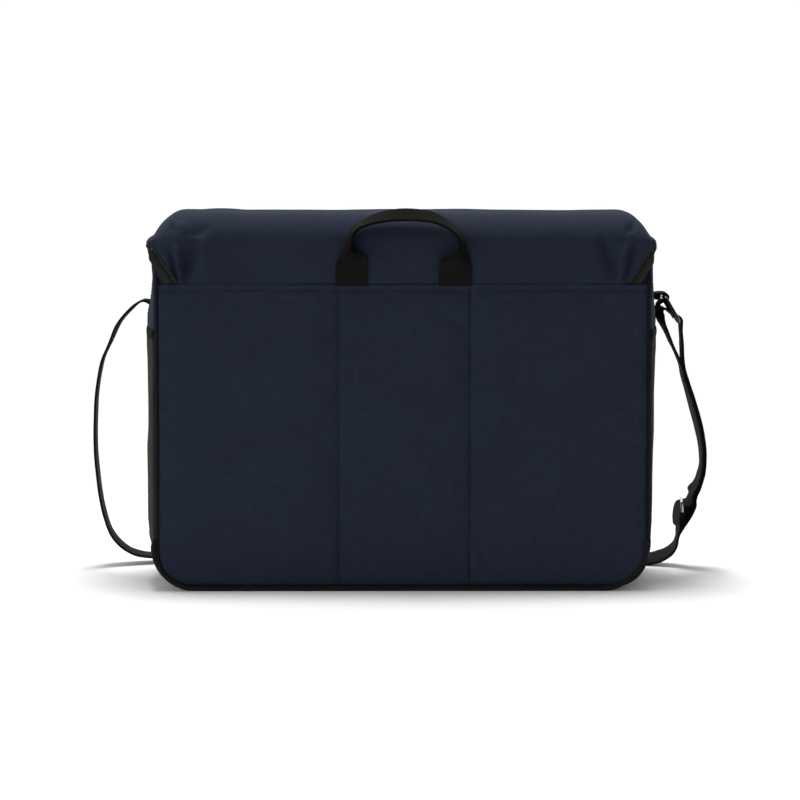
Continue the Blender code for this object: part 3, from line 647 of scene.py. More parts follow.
floor_mat = Shade("floor_paper", rough=0.9, spec=0.1)
fn = floor_mat.noise(6.0, 2.0, 0.5)
floor_mat.color(floor_mat.mixc(fn, (0.94, 0.94, 0.94), (0.96, 0.96, 0.96)))
floor = finish_mesh("floor", [(-1.6, -1.6, 0), (1.6, -1.6, 0), (1.6, 0.62, 0), (-1.6, 0.62, 0)], [[0, 1, 2, 3]],
                    [(0, 0), (1, 0), (1, 1), (0, 1)], floor_mat.m)
floor.location.z = -0.0002

# ----------------------------------------------------------------------------
# rear panel: three padded sections, quilted by two seams
# ----------------------------------------------------------------------------
QUILT = (-0.0510, 0.0540)
CORNER_R = 0.0265
Z_COVER = Z_LOW - 0.0029


def round_corners(X, Z, half, z0, r):
    """Bend the two bottom corners of a rectangle onto arcs."""
    a = np.clip((np.abs(X) - (half - r)) / r, 0, 1)
    b = np.clip(((z0 + r) - Z) / r, 0, 1)
    both = (a > 0) & (b > 0)
    a2, b2 = a * np.sqrt(1 - b * b / 2), b * np.sqrt(1 - a * a / 2)
    Xn = np.where(both, np.sign(X) * (half - r + a2 * r), X)
    Zn = np.where(both, z0 + r - b2 * r, Z)
    return Xn, Zn


def fine_axis(lo, hi, step, extra=(), fine=0.0009, reach=0.006):
    """Grid lines about one step apart, closer together near the given places."""
    pts = list(np.linspace(lo, hi, int(round((hi - lo) / step)) + 1))
    for e in extra:
        pts += [p for p in np.arange(e - reach, e + reach + 1e-9, fine) if lo < p < hi]
    pts = sorted(pts)
    out = [pts[0]]
    for p in pts[1:]:
        if p - out[-1] > fine * 0.6:
            out.append(p)
    out[-1] = hi
    return np.array(out)


xs = fine_axis(-HALF_W, HALF_W, 0.0030, QUILT + (-HALF_W, HALF_W))
zs = fine_axis(Z_COVER, Z_SEAM + 0.0012, 0.0030, (Z_COVER, Z_SEAM - 0.0030, Z_SEAM))
X, Z = np.meshgrid(xs, zs)
X, Z = round_corners(X, Z, HALF_W, Z_COVER, CORNER_R)


def edge_distance(X, Z, half, z0, z1, r):
    """Distance inside a rectangle with round bottom corners."""
    dx = half - np.abs(X)
    dz = Z - z0
    cx, cz = np.abs(X) - (half - r), (z0 + r) - Z
    corner = r - np.hypot(np.maximum(cx, 0), np.maximum(cz, 0))
    d = np.where((cx > 0) & (cz > 0), corner, np.minimum(dx, dz))
    return np.minimum(d, np.where(z1 is None, 1e9, (z1 if z1 is not None else 0) - Z))


def inflate(name, half, z0, z1, r, sewn_x=(), pressure=4.0, step=0.0050, cap=0.0032, sides=(1, 1, 1)):
    """Cloth sewn down round its outline and along sewn_x, blown up by a little pressure.
    Gives a function of (x, z) for how far it stands out. sides: left/right, bottom, top are sewn."""
    marks = sorted([-half, half] + list(sewn_x))
    gx = [marks[0]]
    for a, b in zip(marks[:-1], marks[1:]):
        gx += list(np.linspace(a, b, max(2, int(round((b - a) / step))) + 1)[1:])
    gx = np.array(gx)
    gz = np.linspace(z0, z1, max(2, int(round((z1 - z0) / step))) + 1)
    GX, GZ = np.meshgrid(gx, gz)
    R, C = GX.shape
    me = bpy.data.meshes.new(name)
    me.from_pydata([(x, 0.0, z) for x, z in zip(GX.ravel(), GZ.ravel())], [],
                   [(i * C + j, i * C + j + 1, (i + 1) * C + j + 1, (i + 1) * C + j)
                    for i in range(R - 1) for j in range(C - 1)])
    ob_ = bpy.data.objects.new(name, me)
    scene.collection.objects.link(ob_)
    d = edge_distance(GX, GZ, half, z0, None, r).ravel()
    pin = np.zeros(GX.size, bool)
    if sides[0]:
        pin |= (np.abs(np.abs(GX.ravel()) - half) < 1e-6)
    if sides[1]:
        pin |= (GZ.ravel() < z0 + 1e-6) | ((d <= 0.0005) & (GZ.ravel() < z0 + r))
    if sides[2]:
        pin |= GZ.ravel() > z1 - 1e-6
    for sx in sewn_x:
        pin |= np.abs(GX.ravel() - sx) < 1e-6
    vg = ob_.vertex_groups.new(name="sewn")
    vg.add([int(i) for i in np.nonzero(pin)[0]], 1.0, 'REPLACE')
    cm = ob_.modifiers.new("Cloth", 'CLOTH')
    c = cm.settings
    c.quality = 4
    c.mass = 0.2
    c.tension_stiffness = c.compression_stiffness = 14
    c.shear_stiffness = 5
    c.bending_stiffness = 0.5
    c.shrink_min = -0.010
    c.vertex_group_mass = "sewn"
    c.use_pressure = True
    c.uniform_pressure_force = pressure
    c.effector_weights.gravity = 0.0
    cm.collision_settings.use_collision = False
    for f in range(1, 21):
        scene.frame_set(f)
    ev = ob_.evaluated_get(bpy.context.evaluated_depsgraph_get())
    co = np.empty(len(ev.data.vertices) * 3)
    ev.data.vertices.foreach_get("co", co)
    H_ = np.abs(co.reshape(-1, 3)[:, 1]).reshape(GX.shape)
    H_ = cap * np.tanh(H_ / cap)
    bpy.data.objects.remove(ob_)
    bpy.data.meshes.remove(me)
    scene.frame_set(1)

    def look(x, z):
        x, z = np.clip(x, gx[0], gx[-1]), np.clip(z, gz[0], gz[-1])
        i = np.clip(np.searchsorted(gx, x) - 1, 0, len(gx) - 2)
        j = np.clip(np.searchsorted(gz, z) - 1, 0, len(gz) - 2)
        u = (x - gx[i]) / (gx[i + 1] - gx[i])
        v = (z - gz[j]) / (gz[j + 1] - gz[j])
        u, v = u * u * (3 - 2 * u) * 0.4 + u * 0.6, v * v * (3 - 2 * v) * 0.4 + v * 0.6
        return ((H_[j, i] * (1 - u) + H_[j, i + 1] * u) * (1 - v)
                + (H_[j + 1, i] * (1 - u) + H_[j + 1, i + 1] * u) * v)
    return look


rear_pad = inflate("rear_pad_sim", HALF_W, Z_COVER, Z_SEAM - 0.0031, CORNER_R, QUILT, pressure=4.0, cap=0.0030)


def rear_relief(X, Z):
    """How far the padded panel stands out of its plane, in metres."""
    edge = edge_distance(X, Z, HALF_W, Z_COVER, None, CORNER_R)
    top = np.abs(Z_SEAM - 0.0031 - Z)
    q = np.minimum(np.abs(X - QUILT[0]), np.abs(X - QUILT[1]))
    puff = 0.0010 * (1 - np.exp(-np.maximum(edge, 0) / 0.0035)) + rear_pad(X, Z)
    puff -= 0.0005 * np.exp(-q / 0.0040) + 0.0009 * np.exp(-(q / 0.0011) ** 2)
    puff -= 0.0004 * np.exp(-top / 0.0045) + 0.0004 * np.exp(-(top / 0.0009) ** 2)
    # puckers along the sewn lines
    pz = np.sin(Z * 2 * math.pi / 0.0064 + 2.2 * np.sin(Z * 90)) * np.exp(-q / 0.0050)
    px = np.sin(X * 2 * math.pi / 0.0062 + 2.0 * np.sin(X * 70)) * np.exp(-top / 0.0050)
    pe = np.sin((X + Z) * 2 * math.pi / 0.0105) * np.exp(-np.maximum(edge, 0) / 0.0060)
    puff += 0.00018 * pz + 0.00014 * px + 0.00010 * pe
    return puff


relief = rear_relief(X, Z)
relief += 0.00050 * wob_grid(X, Z, 17.0, 3.1) + 0.00022 * wob_grid(X, Z, 48.0, 8.7)
# folded top edge stands a little proud of the lid that is sewn in behind it
relief += 0.0006 * smooth(Z_SEAM - 0.0040, Z_SEAM - 0.0020, Z)
relief -= 0.0011 * smooth(Z_SEAM + 0.0002, Z_SEAM + 0.0012, Z)
P = np.stack([X, np.full_like(X, YR) - relief, Z], -1)
UV = np.stack([X, Z], -1)
rear = grid("rear_cover", P, UV, "navy")
thicken(rear, 0.0012, offset=-1.0)
place(rear, "root", ("back_panel", "back_pad_left", "back_pad_center", "back_pad_right"))


def on_rear(x, z, up=0.0):
    r = rear_relief(np.asarray(x, float), np.asarray(z, float))
    return np.stack([np.asarray(x, float), YR - r - up, np.asarray(z, float)], -1)


zz = np.linspace(Z_COVER + 0.004, Z_SEAM - 0.0045, 400)
for nm, q in zip(("left", "right"), QUILT):
    st = stitches("quilt_stitches_" + nm, on_rear(np.full_like(zz, q), zz), (0, -1, 0), "navy_thread",
                  pitch=0.0034, length=0.0027, radius=0.00022, lift=0.0001)
    place(st, "root")
xx = np.linspace(-HALF_W + 0.004, HALF_W - 0.004, 700)
st = stitches("seam_topstitches", on_rear(xx, np.full_like(xx, Z_SEAM - 0.0031)), (0, -1, 0), "navy_thread",
              pitch=0.0032, length=0.0025, radius=0.00024, lift=0.0002)
place(st, "root")


# piping round a panel
def piping_path(y, z_top, half, z0, r, top_in=0.0):
    pts = [(-half + top_in, y, z_top)]
    pts += [(-half, y, z) for z in np.linspace(z_top - 0.010, z0 + r, 30)]
    for k in range(1, 16):
        a = math.radians(180 + 90 * k / 16)
        pts.append((-half + r + r * math.cos(a), y, z0 + r + r * math.sin(a)))
    pts += [(x, y, z0) for x in np.linspace(-half + r, half - r, 60)]
    for k in range(1, 16):
        a = math.radians(270 + 90 * k / 16)
        pts.append((half - r + r * math.cos(a), y, z0 + r + r * math.sin(a)))
    pts += [(half, y, z) for z in np.linspace(z0 + r, z_top - 0.010, 30)]
    pts.append((half - top_in, y, z_top))
    return np.array(pts)


PIPE_R = 0.0012
pp = piping_path(YR - 0.0002, Z_SEAM + 0.006, HALF_W + 0.0011, Z_COVER - 0.0010, CORNER_R + 0.0011, 0.0004)
pp[:, 1] -= 0.00025 * np.sin(arclen(pp) * 2 * math.pi / 0.031)
pipe = rod("rear_piping", pp, PIPE_R, "pipe", sides=12, ref=(0, 1, 0))
place(pipe, "root", ("back_piping",))

# ----------------------------------------------------------------------------
# gussets, base, side pockets
# ----------------------------------------------------------------------------
EDGE_X = HALF_W + 0.0028
# how far each end is filled out at mid depth, floor to rim
SIL_Z = [0.0100, 0.0144, 0.0210, 0.0275, 0.0340, 0.0406, 0.0472, 0.0540, 0.0700, 0.1120, 0.1260, 0.1850, 0.1930,
         0.2100, 0.2178, 0.2240, 0.2300, 0.2375, 0.2440, 0.2637, 0.2700, 0.2790]
SIL_L = [.2000, .2017, .2029, .2041, .2049, .2058, .2068, .2075, .2076, .2076, .2068, .2068, .2072, .2072, .2070,
         .2060, .2048, .2036, .2028, .2024, .2028, .2034]
SIL_R = [.1955, .1975, .1988, .1996, .2000, .2008, .2017, .2025, .2030, .2037, .2045, .2048, .2055, .2058, .2056,
         .2050, .2044, .2040, .2034, .2022, .2022, .2026]


def side_x(side, t, z):
    """Outermost face of an end of the bag. t runs from the rear piping (0) to the front (1)."""
    full = np.power(np.maximum(np.sin(np.pi * np.clip(t, 0, 1)), 0), 0.60)
    mid = np.interp(z, SIL_Z, SIL_L if side < 0 else SIL_R)
    low = np.interp(z, [0.010, 0.020, 0.032], [-0.0060, -0.0018, 0.0])
    return (EDGE_X + low) + (mid - EDGE_X - low) * full


def side_points(side, ts, zz_, extra=0.0, ripple=0.0, seed=1.0):
    T, Zg = np.meshgrid(ts, zz_)
    x = side_x(side, T, Zg) + extra
    if ripple:
        x = x + ripple * wob_grid(T * 0.14, Zg, 22.0, seed)
    y = YR + 0.0006 + T * (YF - YR - 0.0012)
    return np.stack([side * x, y, Zg], -1), T


ts = np.linspace(0, 1, 57)
for nm, s in (("left", -1), ("right", 1)):
    zg = np.linspace(0.0330, 0.2772, 96)
    P, T = side_points(s, ts, zg, ripple=0.0006, seed=4.0 + s)
    Zg = P[..., 2]
    # under the pocket the cloth lies further in; above it, it is drawn in by the strap's sewn end
    P[..., 0] -= s * 0.0026 * np.sin(np.pi * T) ** 0.6 * (1 - smooth(0.2000, 0.2120, Zg))
    P[..., 0] -= s * 0.0012 * np.exp(-((P[..., 1]) / 0.022) ** 2 - ((Zg - 0.232) / 0.018) ** 2)
    P[..., 0] += s * 0.0005 * np.sin((P[..., 1] * 0.8 + Zg) * 2 * math.pi / 0.031) * smooth(0.205, 0.215, Zg) * np.sin(np.pi * T)
    UV = np.stack([P[..., 1], P[..., 2]], -1)
    ob = grid("gusset_cloth_" + nm, P, UV, "navy", flip=(s < 0))
    thicken(ob, 0.0012)
    place(ob, "root", ("gusset_" + nm,))

    # stretch pocket over the lower part, drawn in at its bound edge
    zp = np.linspace(0.0350, Z_POCKET, 70)
    P, T = side_points(s, ts, zp)
    Zg = P[..., 2]
    gather = 0.00045 * np.sin(T * 2 * math.pi * 15 + 1.3) * smooth(0.150, 0.203, Zg) * np.sin(np.pi * T)
    P[..., 0] += s * (gather + 0.0004 * wob_grid(T * 0.14, Zg, 30.0, 9.0 + s) + 0.0004)
    UV = np.stack([P[..., 1], P[..., 2]], -1)
    ob = grid("side_pocket_mesh_" + nm, P, UV, "mesh", flip=(s < 0))
    thicken(ob, 0.0009)
    place(ob, "root", ("side_pocket_" + nm,))

    zb = np.linspace(Z_POCKET - 0.0010, Z_POCKET + 0.0070, 11)
    P, T = side_points(s, ts, zb)
    round_ = np.sin(np.pi * np.clip((P[..., 2] - zb[0]) / (zb[-1] - zb[0]), 0, 1)) ** 0.5
    P[..., 0] += s * (0.0002 + 0.0008 * round_
                      + 0.00030 * np.sin(T * 2 * math.pi * 15 + 1.3) * np.sin(np.pi * T))
    ob = grid("side_pocket_edge_" + nm, P, np.stack([P[..., 2], P[..., 1]], -1), "web", flip=(s < 0))
    thicken(ob, 0.0012)
    place(ob, "root", ("side_pocket_binding_" + nm,))

    # woven patch that carries the strap, boxed with stitches
    tp = np.linspace(0.5 - 0.0165 / 0.14, 0.5 + 0.0165 / 0.14, 15)
    zt = np.linspace(0.2170, 0.2470, 14)
    P, T = side_points(s, tp, zt)
    P[..., 0] -= s * 0.0012 * np.exp(-((P[..., 1]) / 0.022) ** 2 - ((P[..., 2] - 0.232) / 0.018) ** 2)
    P[..., 0] += s * 0.0010
    ob = grid("strap_patch_web_" + nm, P, np.stack([P[..., 1], P[..., 2]], -1), "web", flip=(s < 0))
    thicken(ob, 0.0014)
    place(ob, "root", ("strap_patch_" + nm,))
    rim = np.vstack([P[1, 1:-1], P[1:-1, -2], P[-2, 1:-1][::-1], P[1:-1, 1][::-1], P[1:3, 1]])
    ob = stitches("strap_patch_stitches_" + nm, catmull(rim, step=0.001), (s, 0, 0), "black_thread",
                  pitch=0.0030, length=0.0023, radius=0.00022)
    place(ob, "root")

# base: one length of cloth, rolled up at the rear and the front, carried up both ends
R_L, BX_L = 0.0352, 0.2014
R_R, BX_R = 0.0392, 0.1984
across = [(YR + 0.0014, 0.0032), (YR - 0.0004, 0.0029), (YR - 0.0014, 0.0022), (YR - 0.0020, 0.0013),
          (YR - 0.0020, 0.0004), (YR - 0.0006, 0.0)]
across = across + [(y, 0.0) for y in np.linspace(YR + 0.004, YF - 0.004, 21)] + \
    [(YF + 0.0006, 0.0), (YF + 0.0018, 0.0004), (YF + 0.0024, 0.0015), (YF + 0.0018, 0.0027), (YF + 0.0006, 0.0036),
     (YF - 0.0012, 0.0040)]
across = np.array(across)
arc = np.linspace(0, math.pi / 2, 17)
ends = [(-BX_L + 0.0016 * (z - R_L) / 0.006, z) for z in np.linspace(0.0405, R_L, 4)[:-1]]
ends += [(-BX_L + R_L - R_L * math.cos(a), R_L - R_L * math.sin(a)) for a in arc]
ends += [(x, 0.0) for x in np.linspace(-BX_L + R_L, BX_R - R_R, 60)[1:-1]]
ends += [(BX_R - R_R + R_R * math.sin(a), R_R - R_R * math.cos(a)) for a in arc]
ends += [(BX_R, z) for z in np.linspace(R_R, 0.0405, 3)[1:]]
ends = np.array(ends)
en = tangents(np.stack([ends[:, 0], np.zeros(len(ends)), ends[:, 1]], 1))
inw = np.stack([-en[:, 2], np.zeros(len(ends)), en[:, 0]], 1)      # towards the inside of the bag
P = np.empty((len(ends), len(across), 3))
for j, (y, up) in enumerate(across):
    t = np.clip((y - YR) / (YF - YR), 0, 1)
    P[:, j, 0] = ends[:, 0] + inw[:, 0] * up
    P[:, j, 1] = y
    P[:, j, 2] = ends[:, 1] + inw[:, 2] * up
    high = smooth(0.006, 0.034, ends[:, 1])
    target = np.where(ends[:, 0] < 0, -side_x(-1, t, np.maximum(ends[:, 1], 0.010)),
                      side_x(1, t, np.maximum(ends[:, 1], 0.010)))
    blend_ = high * math.sin(math.pi * t)
    P[:, j, 0] = P[:, j, 0] * (1 - blend_) + target * blend_
    P[:, j, 0] += np.sign(ends[:, 0]) * 0.0009 * smooth(0.034, 0.038, ends[:, 1]) * math.sin(math.pi * t)
wz = 0.0004 * wob_grid(P[..., 0], P[..., 1], 35.0, 2.0)
P[..., 2] += np.where(P[..., 2] > 0.0008, wz, 0.0) + 0.00015
UV = np.empty((len(ends), len(across), 2))
UV[..., 0] = arclen(np.stack([ends[:, 0], 0 * ends[:, 0], ends[:, 1]], 1))[:, None]
UV[..., 1] = arclen(np.stack([0 * across[:, 0], across[:, 0], across[:, 1]], 1))[None, :]
base = grid("base_cloth", P, UV, "base", flip=True)
thicken(base, 0.0009, offset=-1.0)
place(base, "root", ("base_panel",))


# ----------------------------------------------------------------------------
# lid
# ----------------------------------------------------------------------------
LID_SEAM_Z = LID_LO.z
RIM_Z = 0.2812
TOP_Z = LID_HI.z - 0.0004
SEAM_HALF = 0.1796
LHALF = 0.2020
# fall of the lid's top towards its two ends
FALL_L = [(.1760, 1.0), (.1795, .985), (.1824, .955), (.1855, .895), (.1888, .800), (.1922, .665), (.1954, .500),
          (.1984, .300), (.2008, .110), (.2020, 0.0)]
FALL_R = [(.1760, 1.0), (.1790, .985), (.1818, .955), (.1848, .895), (.1880, .800), (.1912, .665), (.1942, .500),
          (.1970, .300), (.1993, .110), (.2008, 0.0)]


def stroke(X, Z, pts, width, depth):
    """A soft valley (or ridge) along a short polyline in the lid's rear face."""
    best = np.full(X.shape, 1e9)
    along = np.zeros(X.shape)
    pts = np.asarray(pts, float)
    seg = np.linalg.norm(np.diff(pts, axis=0), axis=1)
    total, run_ = seg.sum(), 0.0
    for (ax, az), (bx, bz), L in zip(pts[:-1], pts[1:], seg):
        t = np.clip(((X - ax) * (bx - ax) + (Z - az) * (bz - az)) / (L * L), 0, 1)
        d = np.hypot(X - (ax + t * (bx - ax)), Z - (az + t * (bz - az)))
        m = d < best
        best = np.where(m, d, best)
        along = np.where(m, (run_ + t * L) / total, along)
        run_ += L
    w = width * (0.55 + 0.9 * np.sin(np.pi * np.clip(along, 0, 1)) ** 0.7)
    fade = np.sin(np.pi * np.clip(along * 0.92 + 0.04, 0, 1)) ** 0.6
    return depth * fade * np.exp(-(best / w) ** 2)


def lid_profile():
    rear_c, front_c = -0.0300, 0.0400
    low = [(YR - 0.0009 * math.sin(math.pi * k / 10) - 0.0003, LID_SEAM_Z - 0.0006 + (RIM_Z - LID_SEAM_Z + 0.0006) * k / 10)
           for k in range(10)]
    up = [(rear_c + (YR - rear_c) * math.cos(a), RIM_Z + (TOP_Z - RIM_Z) * math.sin(a))
          for a in np.linspace(0, math.pi / 2, 25)]
    top = [(rear_c + (front_c - rear_c) * k / 18, TOP_Z + 0.0006 * math.sin(math.pi * k / 18)) for k in range(1, 18)]
    fr = [(front_c + (YF - front_c) * math.sin(a), RIM_Z + (TOP_Z - RIM_Z) * math.cos(a))
          for a in np.linspace(0, math.pi / 2, 20)]
    return np.array(low), np.array(up + top + fr)


def lid_points(inset=0.0, detail=True):
    low, upper = lid_profile()
    prof_ = np.vstack([low, upper])
    n_low = len(low)
    half = LHALF - inset
    end_r = 0.0300
    def edge_cols(table):
        q = catmull([(x, 0, g_ * 0.021) for x, g_ in table], count=22)
        return q[:, 0] * half / LHALF, np.clip(q[:, 2] / 0.021, 0, 1)
    lx, lg = edge_cols(FALL_L)
    rx, rg = edge_cols(FALL_R)
    mid = np.concatenate([np.linspace(-lx[0], -0.150, 16)[1:], np.linspace(-0.150, 0.150, 84)[1:-1], np.linspace(0.150, rx[0], 16)[:-1]]) if abs(lx[0]) > 0.151 else np.linspace(-lx[0], rx[0], 100)[1:-1]
    cols = np.concatenate([-lx[::-1], mid, rx])
    gcol = np.concatenate([lg[::-1], 1 + 0 * mid, rg])
    Cx, Jr = np.meshgrid(cols, np.arange(len(prof_)))
    Y = prof_[Jr, 0].copy()
    Zp = prof_[Jr, 1].copy()
    g = np.broadcast_to(gcol[None, :], Cx.shape)
    lowm = Jr < n_low
    f = (Zp - LID_SEAM_Z) / (RIM_Z - LID_SEAM_Z)
    wlow = (SEAM_HALF + (LHALF - SEAM_HALF) * np.clip(f, 0, 1)) - inset
    reach = np.where(Cx < 0, -cols[0], cols[-1])
    Xn = np.where(lowm, Cx * wlow / half, Cx)
    wlow = reach * wlow / half
    Zn = np.where(lowm, Zp, RIM_Z + (Zp - RIM_Z) * g)
    if inset:
        Y = np.where(lowm, Y + inset, Y * (1 - inset / 0.07))
        Zn = np.where(lowm, Zn, RIM_Z + (Zn - RIM_Z) * (1 - inset / (TOP_Z - RIM_Z)))
    P = np.stack([Xn, Y, Zn], -1)
    if detail:
        # normals of the plain form
        du = np.gradient(P, axis=1)
        dv = np.gradient(P, axis=0)
        N = np.cross(du, dv)
        N /= np.maximum(np.linalg.norm(N, axis=-1, keepdims=True), 1e-9)
        d = np.zeros(Xn.shape)
        rear_side = 1 - smooth(-0.035, -0.010, Y)
        L = lambda *a_, **k_: stroke(Xn, Zn, *a_, **k_)
        # darts and gathers by the two rear corners
        d -= rear_side * L([(-0.1800, 0.2470), (-0.1826, 0.2600), (-0.1846, 0.2735)], 0.0015, 0.0056)
        d += rear_side * L([(-0.1762, 0.2480), (-0.1790, 0.2640), (-0.1812, 0.2790)], 0.0028, 0.0044)
        d -= rear_side * L([(-0.1752, 0.2480), (-0.1720, 0.2620), (-0.1650, 0.2820)], 0.0044, 0.0086)
        d -= rear_side * L([(-0.1700, 0.2850), (-0.1630, 0.2900), (-0.1560, 0.2915)], 0.0046, 0.0056)
        d -= rear_side * L([(-0.1870, 0.2905), (-0.1835, 0.2945)], 0.0030, 0.0044)
        d += rear_side * L([(-0.1935, 0.2800), (-0.1890, 0.2700)], 0.0046, 0.0026)
        d += rear_side * L([(-0.1770, 0.2880), (-0.1745, 0.2960)], 0.0036, 0.0026)
        d -= rear_side * L([(0.1782, 0.2490), (0.1808, 0.2620), (0.1840, 0.2770)], 0.0016, 0.0050)
        d += rear_side * L([(0.1740, 0.2500), (0.1768, 0.2650), (0.1800, 0.2800)], 0.0032, 0.0036)
        d -= rear_side * L([(0.1715, 0.2500), (0.1660, 0.2660), (0.1590, 0.2850)], 0.0050, 0.0062)
        d -= rear_side * L([(0.1850, 0.2890), (0.1800, 0.2940)], 0.0034, 0.0036)
        d -= rear_side * L([(0.1500, 0.2870), (0.1620, 0.2905)], 0.0060, 0.0020)
        # drag lines running in from the corners
        d -= rear_side * L([(-0.1500, 0.2500), (-0.1350, 0.2700), (-0.1150, 0.2830)], 0.0110, 0.0016)
        d -= rear_side * L([(0.1450, 0.2500), (0.1300, 0.2690), (0.1100, 0.2820)], 0.0110, 0.0014)
        # slight bump along the upper edge on the left, and broad slack in the cloth
        d += L([(-0.1620, 0.3000), (-0.1480, 0.3016), (-0.1330, 0.3010)], 0.0060, 0.0012)
        d += 0.0009 * wob_grid(Xn, Y + Zn, 11.0, 21.0) + 0.0005 * wob_grid(Xn, Y + Zn, 31.0, 5.0)
        # puckers along the rear seam and along the zip
        near = np.exp(-np.abs(Zn - LID_SEAM_Z) / 0.006)
        d += 0.00020 * np.sin(Xn * 2 * math.pi / 0.0068 + 2 * np.sin(Xn * 60)) * near * lowm
        rimd = np.minimum(np.abs(half - np.abs(Cx)), 1.0)
        d += 0.00030 * np.sin(Y * 2 * math.pi / 0.0082) * np.exp(-rimd / 0.004) * (1 - lowm)
        # hold the sewn edges in place
        hold = smooth(0.0, 0.004, Zn - (LID_SEAM_Z - 0.0006)) * smooth(0.0, 0.05, g + lowm)
        edge_low = np.where(lowm, smooth(0.0, 0.004, wlow - np.abs(Xn)), 1.0)
        P = P + N * (d * hold * edge_low)[..., None]
    sv = np.concatenate([[0], np.cumsum(np.linalg.norm(np.diff(prof_, axis=0), axis=1))])
    UV = np.stack([Cx, np.broadcast_to(sv[:, None], Cx.shape)], -1)
    return P, UV


P, UV = lid_points()
lid = grid("lid_cloth", P, UV, "navy")
thicken(lid, 0.0014, offset=-1.0)
place(lid, "lid", ("lid_shell",))
LIDP = P

# ----------------------------------------------------------------------------
# carry handle: webbing sewn in flat, folded in half along its grip
# ----------------------------------------------------------------------------
HMID = 0.0011
# spine of the fold: x, z, how much webbing still lies flat beyond the middle, fold, lean, rise of the
# crossing line, how far it has turned square to the path, depth
H = [(-.0537, .2448, -12.9, 0, 0, 0, 0, .0708), (-.0537, .2500, -12.9, 0, 0, 3, 0, .0722),
     (-.0535, .2556, -12.9, 0, 1, 11, 0, .0728), (-.0529, .2608, -12.7, .30, 6, 18, 0, .0730),
     (-.0516, .2646, -10.4, .85, 22, 16, 0, .0733), (-.0502, .2682, -7.2, .97, 40, 11, 0, .0733),
     (-.0486, .2722, -3.4, 1, 53, 4, .2, .0731), (-.0468, .2762, 0, 1, 62, -4, .6, .0727),
     (-.0446, .2810, 0, 1, 72, -10, 1, .0721), (-.0414, .2875, 0, 1, 79, -20, 1, .0708),
     (-.0364, .2934, 0, 1, 78, -20, 1, .0690), (-.0296, .2982, 0, 1, 68, -20, 1, .0668),
     (-.0222, .3018, 0, 1, 60, -20, 1, .0650), (-.0110, .3048, 0, 1, 52, -20, 1, .0635),
     (.0010, .3060, 0, 1, 48, -20, 1, .0630), (.0130, .3054, 0, 1, 50, -20, 1, .0635),
     (.0226, .3038, 0, 1, 54, -20, 1, .0645), (.0306, .3002, 0, 1, 62, -20, 1, .0660),
     (.0378, .2952, 0, 1, 70, -20, 1, .0680), (.0450, .2876, 0, 1, 78, -20, 1, .0708),
     (.0484, .2818, 0, 1, 74, -10, 1, .0721), (.0502, .2768, 0, 1, 66, -5, .6, .0727),
     (.0514, .2728, -3.4, 1, 56, 2, .2, .0731), (.0525, .2686, -7.0, .97, 42, 7, 0, .0733),
     (.0535, .2640, -10.2, .85, 22, 12, 0, .0733), (.0542, .2594, -12.7, .30, 6, 12, 0, .0730),
     (.0546, .2550, -12.9, 0, 1, 8, 0, .0728), (.0546, .2500, -12.9, 0, 0, 2, 0, .0722),
     (.0546, .2448, -12.9, 0, 0, 0, 0, .0708)]
rows = catmull([(x, -y, z, f, r, sf * MM, tau, k) for x, z, sf, f, r, tau, k, y in H], step=0.0010)
HP = rows[:, :3].copy()
fold = np.clip(rows[:, 3], 0, 1)
turn = np.radians(np.clip(rows[:, 4], 0, 85))
crease = np.clip(rows[:, 5], -0.0129, 0.0)
flat_path = HP.copy()
flat_path[:, 1] = YR
t = tangents(flat_path)
toward = np.array([0, -1.0, 0])
o = np.cross(t, toward[None, :])            # in the handle's plane, square to the path
cen = np.array([HMID, 0, 0.2600])
flip = np.sign(np.sum(o * (HP - cen), 1))
flip[flip == 0] = 1
o = o * flip[:, None]
o /= np.linalg.norm(o, axis=1, keepdims=True)
tau = np.radians(rows[:, 6])
side_h = np.sign(HP[:, 0])
flat_o = np.stack([side_h * np.cos(tau), 0 * tau, -np.sin(tau)], 1)
sq = np.clip(rows[:, 7], 0, 1)[:, None]
o = o * sq + flat_o * (1 - sq)
o /= np.linalg.norm(o, axis=1, keepdims=True)
HW = 0.0258
n_s = 61
ss = np.linspace(HW / 2, -HW / 2, n_s)      # from inner edge, through the middle, to the outer edge
bend = 0.0012
Q = np.empty((len(HP), n_s, 3))
for i in range(len(HP)):
    phi = math.pi * float(fold[i])
    cr_ = float(crease[i])
    ang = phi * (1 - smooth(cr_ - bend, cr_ + bend, ss))
    ds = np.abs(np.gradient(ss))
    ca, cb = np.cumsum(np.cos(ang) * ds), np.cumsum(np.sin(ang) * ds)
    ca = ca - np.interp(cr_, ss[::-1], ca[::-1])
    cb = cb - np.interp(cr_, ss[::-1], cb[::-1])
    r = float(turn[i])
    oo = math.cos(r) * o[i] - math.sin(r) * toward     # outward direction, leaning back
    nn = math.cos(r) * toward + math.sin(r) * o[i]
    Q[i] = HP[i] + ca[:, None] * oo + cb[:, None] * nn
s_h = arclen(HP)
UVh = np.empty((len(HP), n_s, 2))
UVh[..., 0] = ss[None, :]
UVh[..., 1] = s_h[:, None]
handle = grid("handle_web", Q, UVh, "web")
outward(handle)
hm = thicken(handle, 0.0013, offset=0.0)
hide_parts("handle_webbing")
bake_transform(handle)

# ----------------------------------------------------------------------------
# zip: two tapes and a coil from the rear seam, round both ends and across the front
# ----------------------------------------------------------------------------
slope = np.array([LHALF - SEAM_HALF, RIM_Z - LID_SEAM_Z])
slope /= np.linalg.norm(slope)
outw = np.array([slope[1], -slope[0]])


